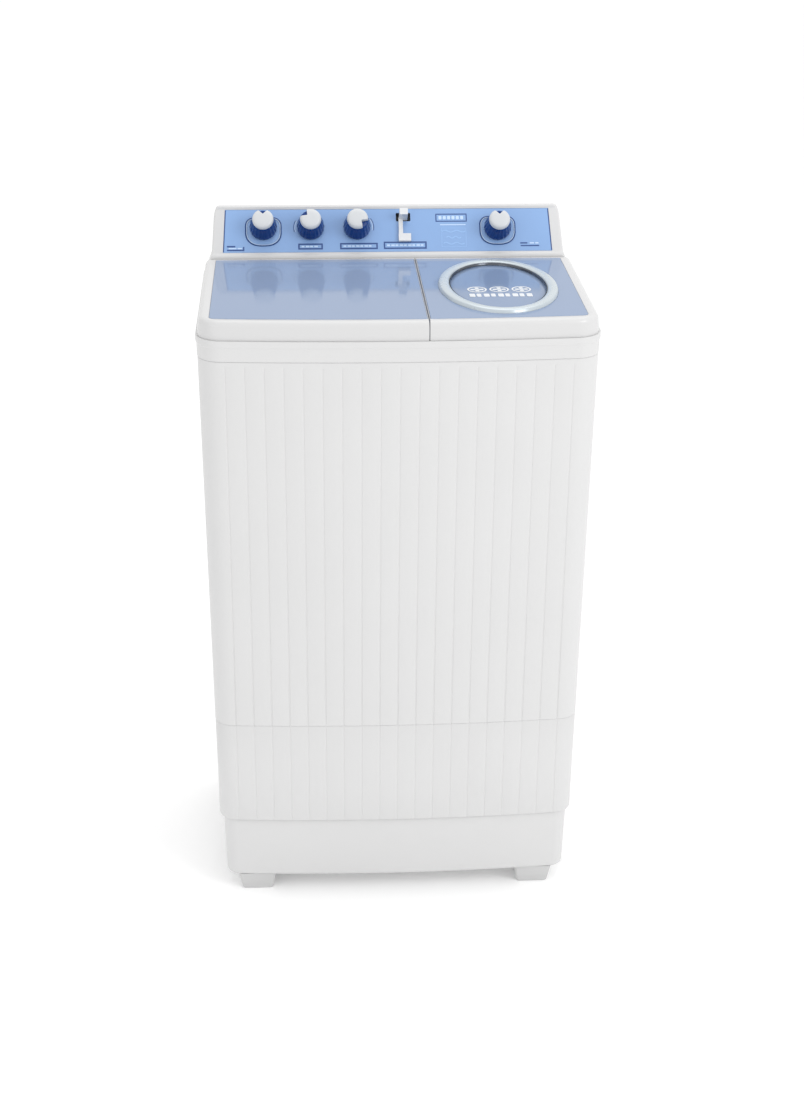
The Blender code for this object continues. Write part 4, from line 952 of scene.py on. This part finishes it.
def make_print():
    dark, pale, cyan = [], [], []
    low, high = FASCIA_HALF_W, FASCIA_HALF_W - 0.004
    top = FASCIA_LEN - 0.003
    for side in (-1, 1):
        edge = [(side * (low - 0.0009), 0.003), (side * (high - 0.0009), top - 0.001)]
        dark.append(stroke(edge, 0.0017))
    for u0, u1, v1 in ((-0.1605, -0.1165, 0.0185), (-0.086, -0.0185, 0.019), (-0.008, 0.069, 0.021)):
        v0 = 0.007
        dark += frame_bars(u0, v0, u1, v1, 0.0028)
        middle = (v0 + v1) / 2
        count = round((u1 - u0 - 0.012) / 0.0075)
        for i in range(count):
            start = u0 + 0.006 + i * 0.0075
            pale.append(bar(start, middle - 0.0014, start + 0.0052 + 0.0012 * (i % 2), middle + 0.0014))
    dark += [
        bar(-0.287, 0.005, -0.256, 0.0078), bar(-0.287, 0.012, -0.272, 0.015),
        bar(-0.2585, 0.0078, -0.256, 0.013)
    ]
    pale += [bar(-0.284, 0.0086, -0.27, 0.0108), bar(-0.268, 0.0086, -0.26, 0.0108)]
    dark += [bar(0.237, 0.0155, 0.25, 0.018), bar(0.2375, 0.0105, 0.271, 0.0128)]
    pale += [bar(0.254, 0.0155, 0.262, 0.0178), bar(0.264, 0.0155, 0.27, 0.0178)]
    for knob, start, end in (("wash_mode", 152, 196), ("drain", -12, 36)):
        x, up, _ = KNOBS[knob]
        turns = [radians(start + (end - start) * i / 16) for i in range(17)]
        dark.append(stroke([(x + 0.03 * cos(t), up + 0.0285 * sin(t)) for t in turns], 0.0013))
        pale.append(stroke([(x + 0.028 * cos(t), up + 0.0265 * sin(t)) for t in turns], 0.0011))
    dark += frame_bars(0.086, 0.058, 0.1425, 0.0735, 0.002)
    for i in range(6):
        start = 0.0915 + i * 0.0078
        pale.append(bar(start, 0.0625, start + 0.0055, 0.069, 0.0016))
    pale.append(bar(0.094, 0.0515, 0.14, 0.0532))
    for row, reach in enumerate((0.021, 0.013, 0.019)):
        level = 0.04 - row * 0.0115
        wave = [(0.118 + reach * (i / 6 - 1), level + 0.0018 * sin(i * pi / 3)) for i in range(13)]
        cyan.append(stroke(wave, 0.002))
    cyan += frame_bars(0.096, 0.01, 0.1405, 0.0462, 0.0008)
    decal("print_navy", dark, INK_DARK)
    decal("print_pale", pale, INK_PALE, 0.00016)
    decal("print_cyan", cyan, INK_CYAN, 0.0001)


# ---- controls


def fascia_spot(x, up):
    """The matrix that stands a shape on the fascia, x along it and up its slope."""
    spot = Vector((x, FASCIA_LOW[0] + up * cos(FASCIA_TURN), FASCIA_LOW[1] + up * sin(FASCIA_TURN)))
    return Matrix.Translation(spot) @ Matrix.Rotation(FASCIA_TURN, 4, "X")


def fluted(radius, depth, flutes=20, steps=6):
    count = flutes * steps
    points = []
    for i in range(count):
        reach = radius - depth * (0.5 - 0.5 * cos(2 * pi * i / steps)) ** 0.6
        points.append((reach * cos(2 * pi * i / count), reach * sin(2 * pi * i / count)))
    return points


def make_knob(label):
    x, up, pointer = KNOBS[label]
    rows = [
        (KNOB_STEM_R, -0.014, 0), (KNOB_STEM_R, 0.0012, 0), (0.0226, 0.0015, 0.0001),
        (0.0242, 0.0026, 0.0004), (0.0247, 0.005, 0.0007), (0.0242, 0.01, 0.0009), (0.0232, 0.0165, 0.0009),
        (0.0218, 0.023, 0.0009), (0.0204, 0.029, 0.0008), (0.0193, 0.033, 0.0006), (0.0184, 0.0352, 0.0002),
        (0.0172, 0.036, 0.0)
    ]
    skirt = moved(skin([at(fluted(radius, depth), z) for radius, z, depth in rows]), fascia_spot(x, up))
    place(solid(f"{label}_skirt", skirt, KNOB), f"{label}_knob", "knob_blue", [f"{label}_knob"], 50.0)

    profile = [
        (0, 0.0363), (0.0166, 0.0363), (0.0179, 0.0368), (0.0187, 0.0381), (0.0188, 0.0396),
        (0.0184, 0.0416), (0.0174, 0.0436), (0.0159, 0.0449), (0.0138, 0.0457), (0.0108, 0.0461),
        (0.006, 0.0463), (0, 0.0463)
    ]
    grip = solid(f"{label}_cap", turned(profile, 72), CAP)
    corners = [(-0.015, 0.023), (0.015, 0.023), (0.001, 0.0088), (0.0, 0.0083), (-0.001, 0.0088)]
    notch = skin([at(corners, z) for z in (0.03, 0.05)])
    combine(grip, moved(notch, Matrix.Rotation(radians(pointer), 4, "Z")))
    soften(grip, 0.0006, 2, 50.0)
    grip.data.transform(fascia_spot(x, up))
    place(grip, f"{label}_knob", "white_plastic", [f"{label}_grip"], 40.0)


def bezel_outline(grow):
    half, top, corner = 0.0316 + grow, 0.018 + grow, 0.015 + grow
    points = arc((half - corner, top - corner), corner, 0, pi / 2, 12)
    points += arc((-half + corner, top - corner), corner, pi / 2, pi, 12)
    for i in range(41):
        turn = pi + pi * i / 40
        across = abs(cos(turn)) ** 0.8 * (1 if i > 20 else -1)
        points.append((half * across, -0.0075 - half * 0.88 * abs(sin(turn)) ** 0.8))
    return points


def make_bezel(label):
    """A low moulded border round a timer knob: dark outside, pale within."""
    dark = [(0.001, GAP), (0.001, 0.0009), (0.0006, 0.0012), (-0.0011, 0.0013), (-0.0011, GAP)]
    pale = [(-0.0012, GAP), (-0.0012, 0.0013), (-0.0022, 0.0012), (-0.0026, 0.0009), (-0.0026, GAP)]
    for name, rows, finish, nodes in (
        (f"{label}_surround", dark, BEZEL_DARK, [f"{label}_bezel"]),
        (f"{label}_surround_line", pale, BEZEL_PALE, ()),
    ):
        bm = skin([at(bezel_outline(grow), z) for grow, z in rows], True)
        made = solid(name, moved(bm, fascia_spot(KNOBS[label][0], BEZEL_UP)), finish)
        place(made, "root", "chrome", nodes, 50.0)


def make_lever():
    blade = [(-0.0073, 0.0115), (0.0073, 0.0115), (0.0073, 0.0235), (-0.0073, 0.0235)]
    lever = solid("lever", skin([at(blade, z) for z in (-0.0125, 0.028)]), LEVER)
    combine(lever, box_mesh((-0.0085, -0.022, 0.0008), (-0.001, 0.015, 0.006)), "UNION")
    combine(lever, box_mesh((-0.009, -0.03, 0.0008), (0.013, -0.016, 0.007)), "UNION")
    soften(lever, 0.0012, 3, 40.0)
    lever.data.transform(fascia_spot(LEVER_X, LEVER_UP))
    place(lever, "inlet_lever", "white_plastic", ["inlet_lever"], 40.0)
    rows = ((-0.0001, -0.0019), (-0.0001, -0.0119), (-0.0005, -0.0119), (-0.0005, -0.0019))
    sleeve = skin([at(slot_outline(0, 0, grow), z) for grow, z in rows], True)
    moved(sleeve, fascia_spot(LEVER_X, LEVER_UP))
    place(solid("slot_sleeve", sleeve, DARK), "root", "inner_plastic", (), 40.0)


def make_controls():
    for label in KNOBS:
        make_knob(label)
    for label in ("wash_timer", "spin_timer"):
        make_bezel(label)
    make_lever()


# ---- tubs


def tub_loop(grow, z, radius):
    half = (WASH_HALF[0] + grow, WASH_HALF[1] + grow)
    return at(rounded_rect((WASH_X, WASH_Y), half, radius, 12), z)


def make_wash_tub():
    flange = DECK_Z + GAP
    rows = (
        (-0.03, WASH_FLOOR_Z - 0.004, 0.04),
        (-0.02, WASH_FLOOR_Z - 0.001, 0.046),
        (-0.012, WASH_FLOOR_Z + 0.006, 0.05),
        (-0.009, WASH_FLOOR_Z + 0.014, 0.052),
        (WALL, flange, 0.053),
        (0.0107, flange, 0.056),
        (0.0115, flange + 0.0008, 0.056),
        (0.011, flange + 0.0024, 0.056),
        (0.01, flange + 0.0028, 0.056),
        (0.0016, flange + 0.0028, 0.051),
        (0.0, flange + 0.0012, 0.05),
        (-0.0004, flange - 0.004, 0.05),
        (-0.0125, WASH_FLOOR_Z + 0.016, 0.048),
        (-0.015, WASH_FLOOR_Z + 0.008, 0.046),
        (-0.02, WASH_FLOOR_Z + 0.002, 0.043),
        (-0.026, WASH_FLOOR_Z, 0.04),
    )
    loops = [tub_loop(*row) for row in rows]
    tub = solid("wash_basin", skin(loops), TUB)
    under, over = WASH_FLOOR_Z - 0.02, WASH_FLOOR_Z + 0.03
    combine(tub, post(0.016, under, over, 40, (WASH_X, WASH_Y)))
    combine(tub, post(0.011, under, over, 32, (VALVE_X, VALVE_Y)))
    place(tub, "root", "white_plastic", ["wash_tub"], 40.0)


def make_drain_grate():
    grate = turned([(0.0, 0.0005), (0.014, 0.0005), (0.014, 0.0015), (0.0125, 0.0026), (0.0, 0.0032)], 40)
    drain = solid("drain_grate", grate, INNER)
    bore_rings(drain, ((0.0045, 6), (0.009, 12)), 0.0013, -0.01, 0.01, 10)
    drain.data.transform(Matrix.Translation((VALVE_X, VALVE_Y, WASH_FLOOR_Z)))
    place(drain, "root", "inner_plastic", (), 30.0)


def make_lint_filter():
    x0, x1 = WASH_X - 0.032, WASH_X + 0.032
    back = WASH_Y + WASH_HALF[1] - 0.005
    cassette = solid("lint_cassette", box_mesh((x0, back - 0.016, 0.8), (x1, back - 0.0005, 0.95)), INNER)
    slots = bmesh.new()
    for i in range(5):
        x = WASH_X - 0.022 + i * 0.0094
        merge(slots, box_mesh((x, back - 0.03, 0.815), (x + 0.005, back - 0.0045, 0.925)))
    combine(cassette, slots)
    soften(cassette, 0.0014, 3, 50.0)
    place(cassette, "root", "inner_plastic", ["lint_filter"], 40.0)


def make_pulsator():
    profile = [
        (0.0062, 0.014), (0.03, 0.012), (0.112, 0.004), (0.115, 0.0044), (0.1162, 0.0062), (0.1155, 0.0085),
        (0.113, 0.0104), (0.1, 0.0122), (0.085, 0.0145), (0.07, 0.018), (0.055, 0.0232), (0.044, 0.0286),
        (0.034, 0.034), (0.026, 0.0378), (0.018, 0.0402), (0.012, 0.041), (0.0062, 0.0412)
    ]
    disc = solid("pulsator_disc", turned(profile, 96), WHITE_GLOSS)
    for i in range(4):
        rows = []
        for k in range(13):
            reach = 0.022 + 0.084 * k / 12
            crest = 0.05 - 0.0335 * (k / 12) ** 1.15
            if k == 12:
                crest -= 0.003
            half = 0.0074 - 0.0022 * k / 12
            shape = [(1, 0.0085), (0.92, crest - 0.008), (0.62, crest - 0.0025), (0.25, crest - 0.0003)]
            shape = [(-half * y, z) for y, z in shape] + [(half * y, z) for y, z in reversed(shape)]
            rows.append([(reach, y, max(z, 0.0085 + 0.0004 * n)) for n, (y, z) in enumerate(shape)])
        fin = moved(skin(rows), Matrix.Rotation(pi / 2 * i, 4, "Z"))
        combine(disc, fin, "UNION")
    disc.data.transform(Matrix.Translation((WASH_X, WASH_Y, WASH_FLOOR_Z)))
    place(disc, "pulsator", "white_plastic", ["pulsator"], 40.0)


def perforated(radius_in, radius_out, low, high, columns, rows, hole):
    """A cylinder's wall with round holes, as one mesh open at its two ends."""
    bm = bmesh.new()
    height, width = (high - low) / rows, 2 * pi / columns
    corners = (1, 0), (1, 1), (0, 1), (-1, 1), (-1, 0), (-1, -1), (0, -1), (1, -1)
    square = [(a * width / 2, b * height / 2) for a, b in corners]
    sides = len(corners)
    turns = [2 * pi * i / sides for i in range(sides)]
    circle = [(hole * cos(turn) / radius_out, hole * sin(turn)) for turn in turns]

    def point(radius, turn, z):
        return bm.verts.new((radius * cos(turn), radius * sin(turn), z))

    for row in range(rows):
        for column in range(columns):
            mid_t, mid_z = width * (column + 0.5), low + height * (row + 0.5)
            rings = []
            for radius in (radius_out, radius_in):
                edge = [point(radius, mid_t + a, mid_z + b) for a, b in square]
                bore = [point(radius, mid_t + a, mid_z + b) for a, b in circle]
                rings.append((edge, bore))
            for i in range(sides):
                k = (i + 1) % sides
                for edge, bore in rings:
                    bm.faces.new((edge[i], edge[k], bore[k], bore[i]))
                bm.faces.new((rings[0][1][i], rings[0][1][k], rings[1][1][k], rings[1][1][i]))
    bmesh.ops.remove_doubles(bm, verts=bm.verts, dist=1e-5)
    return bm


def make_spin_tub():
    top, base, bore = DECK_Z + GAP, SPIN_TUB_Z, SPIN_TUB_R
    profile = [
        (0.024, base), (bore - 0.006, base), (bore, base + 0.004), (bore + WALL - 0.002, base + 0.01),
        (bore + WALL, top), (bore + 0.0094, top), (bore + 0.01, top + 0.0008),
        (bore + 0.0096, top + 0.0024), (bore + 0.0088, top + 0.0028), (bore + 0.0014, top + 0.0028),
        (bore, top + 0.0014), (bore - 0.0001, top - 0.004), (bore - 0.002, base + 0.012),
        (bore - 0.008, base + 0.004), (0.034, base + 0.004), (0.03, base + 0.02), (0.024, base + 0.02)
    ]
    basin = solid("spin_basin", turned(profile, 96, (SPIN_X, SPIN_Y)), TUB)
    place(basin, "root", "white_plastic", ["spin_tub"], 40.0)


def make_basket():
    """A turned foot and lip, with a perforated wall between them."""
    low, high = BASKET_Z
    outer, inner = BASKET_R, BASKET_R - 0.002
    foot = [
        (SHAFT_R + GAP, low - 0.014), (0.016, low - 0.014), (0.018, low), (BASKET_R - 0.01, low),
        (BASKET_R - 0.003, low + 0.003), (outer, low + 0.01), (outer, low + 0.03), (inner, low + 0.03),
        (inner, low + 0.012), (BASKET_R - 0.006, low + 0.005), (BASKET_R - 0.012, low + 0.002),
        (0.02, low + 0.002), (0.016, low + 0.012), (SHAFT_R + GAP, low + 0.012)
    ]
    bm = turned(foot, 72)
    merge(bm, perforated(inner, outer, low + 0.03, high - 0.03, 36, 24, 0.0026))
    lip = [
        (outer, high - 0.03), (outer, high - 0.004), (BASKET_R + 0.0022, high - 0.0016),
        (BASKET_R + 0.003, high - 0.0006), (BASKET_R + 0.0026, high), (BASKET_R - 0.0032, high),
        (BASKET_R - 0.004, high - 0.0008), (BASKET_R - 0.004, high - 0.006), (inner, high - 0.01),
        (inner, high - 0.03)
    ]
    merge(bm, turned(lip, 72))
    moved(bm, Matrix.Translation((SPIN_X, SPIN_Y, 0)))
    place(solid("basket", bm, INNER), "spinner", "inner_plastic", ["spin_basket"], 30.0)


def make_press_disc():
    low = BASKET_Z[0]
    under = low + 0.0155
    disc = [
        (0.0, under), (0.089, under), (0.0912, under + 0.0006), (0.092, under + 0.002),
        (0.0912, under + 0.0034), (0.089, under + 0.004), (0.02, under + 0.004), (0.016, under + 0.0052),
        (0.013, under + 0.0092), (0.01, under + 0.0104), (0.0, under + 0.0108)
    ]
    plate = solid("press_plate", turned(disc, 72), KNOB)
    rings = ((0.032, 8), (0.048, 12), (0.064, 16), (0.079, 20))
    bore_rings(plate, rings, 0.003, low, low + 0.05, 12)
    plate.data.transform(Matrix.Translation((SPIN_X, SPIN_Y, 0)))
    place(plate, "spinner", "knob_blue", ["spin_press_disc"], 30.0)


# ---- carried-over nodes


def dress_nodes():
    """Procedural materials for the CAD nodes that stay in sight."""
    finishes = {
        "steel": STEEL, "motor_casing": CASTING, "rubber": RUBBER, "hose": HOSE, "capacitor": CAN,
        "inner_plastic": INNER
    }
    slots = {row["node"]: row["material_slot"] for row in frame["record"]["subparts"]}
    for name, node in frame["nodes"].items():
        finish = finishes.get(slots[name], WHITE)
        for material_slot in node.material_slots:
            material_slot.material = finish
        smooth(node.data)


# ---- stage


def make_stage():
    ground = bpy.data.materials.new("pale_floor")
    ground.use_nodes = True
    shader = ground.node_tree.nodes["Principled BSDF"]
    shader.inputs["Base Color"].default_value = (0.93, 0.93, 0.93, 1)
    shader.inputs["Roughness"].default_value = 0.9
    shader.inputs["Specular IOR Level"].default_value = 0.1
    shader.inputs["Emission Color"].default_value = (1, 1, 1, 1)
    shader.inputs["Emission Strength"].default_value = FLOOR_GLOW
    bm = bmesh.new()
    bmesh.ops.create_grid(bm, x_segments=1, y_segments=1, size=FLOOR_HALF)
    floor = solid("floor", bm, ground)

    world = bpy.data.worlds.new("studio")
    world.use_nodes = True
    sky = world.node_tree.nodes["Background"]
    sky.inputs["Color"].default_value = (1, 1, 1, 1)
    sky.inputs["Strength"].default_value = SKY
    bpy.context.scene.world = world

    for name, spot, aim, size, power in (
        ("key", (2.2, -2.2, 2.6), (0.1, 0.0, 0.9), 1.6, 34.0),
        ("fill", (-2.4, -2.6, 1.6), (0.0, 0.0, 0.7), 2.0, 8.0),
        ("top", (0.2, 0.6, 3.2), (0.0, 0.0, 1.0), 2.2, 16.0),
    ):
        data = bpy.data.lights.new(name, "AREA")
        data.shape = "SQUARE"
        data.size = size
        data.energy = power
        light = bpy.data.objects.new(name, data)
        light.location = spot
        light.rotation_euler = (Vector(aim) - Vector(spot)).to_track_quat("-Z", "Y").to_euler()
        bpy.context.scene.collection.objects.link(light)


def make_camera():
    """At the picture's viewing place. The focal length is a share of the frame's long side."""
    yaw, pitch, roll = radians(VIEW_YAW), radians(VIEW_PITCH), radians(VIEW_ROLL)
    ahead = Vector((sin(yaw) * cos(pitch), cos(yaw) * cos(pitch), -sin(pitch)))
    level = Vector((cos(yaw), -sin(yaw), 0))
    above = level.cross(ahead)
    right = level * cos(roll) + above * sin(roll)
    up = above * cos(roll) - level * sin(roll)
    data = bpy.data.cameras.new("camera")
    data.sensor_width = SENSOR
    data.lens = FOCAL_SHARE * SENSOR
    data.clip_start, data.clip_end = 0.05, 100.0
    camera = bpy.data.objects.new("camera", data)
    turned_to = Matrix((right, up, -ahead)).transposed().to_4x4()
    camera.matrix_world = Matrix.Translation(VIEW_FROM) @ turned_to
    bpy.context.scene.collection.objects.link(camera)
    bpy.context.scene.camera = camera


# ---- build

bpy.context.scene.view_settings.view_transform = "Standard"
dress_nodes()
make_base()
make_feet()
make_skirt()
make_cabinet()
make_service_cover()
make_nozzle()
make_gland()
make_top_frame()
make_deck_fittings()
make_lid("wash", -1)
make_lid("spin", 1)
make_ring()
make_window()
make_console()
make_print()
make_controls()
make_wash_tub()
make_drain_grate()
make_lint_filter()
make_pulsator()
make_spin_tub()
make_basket()
make_press_disc()
make_stage()
make_camera()
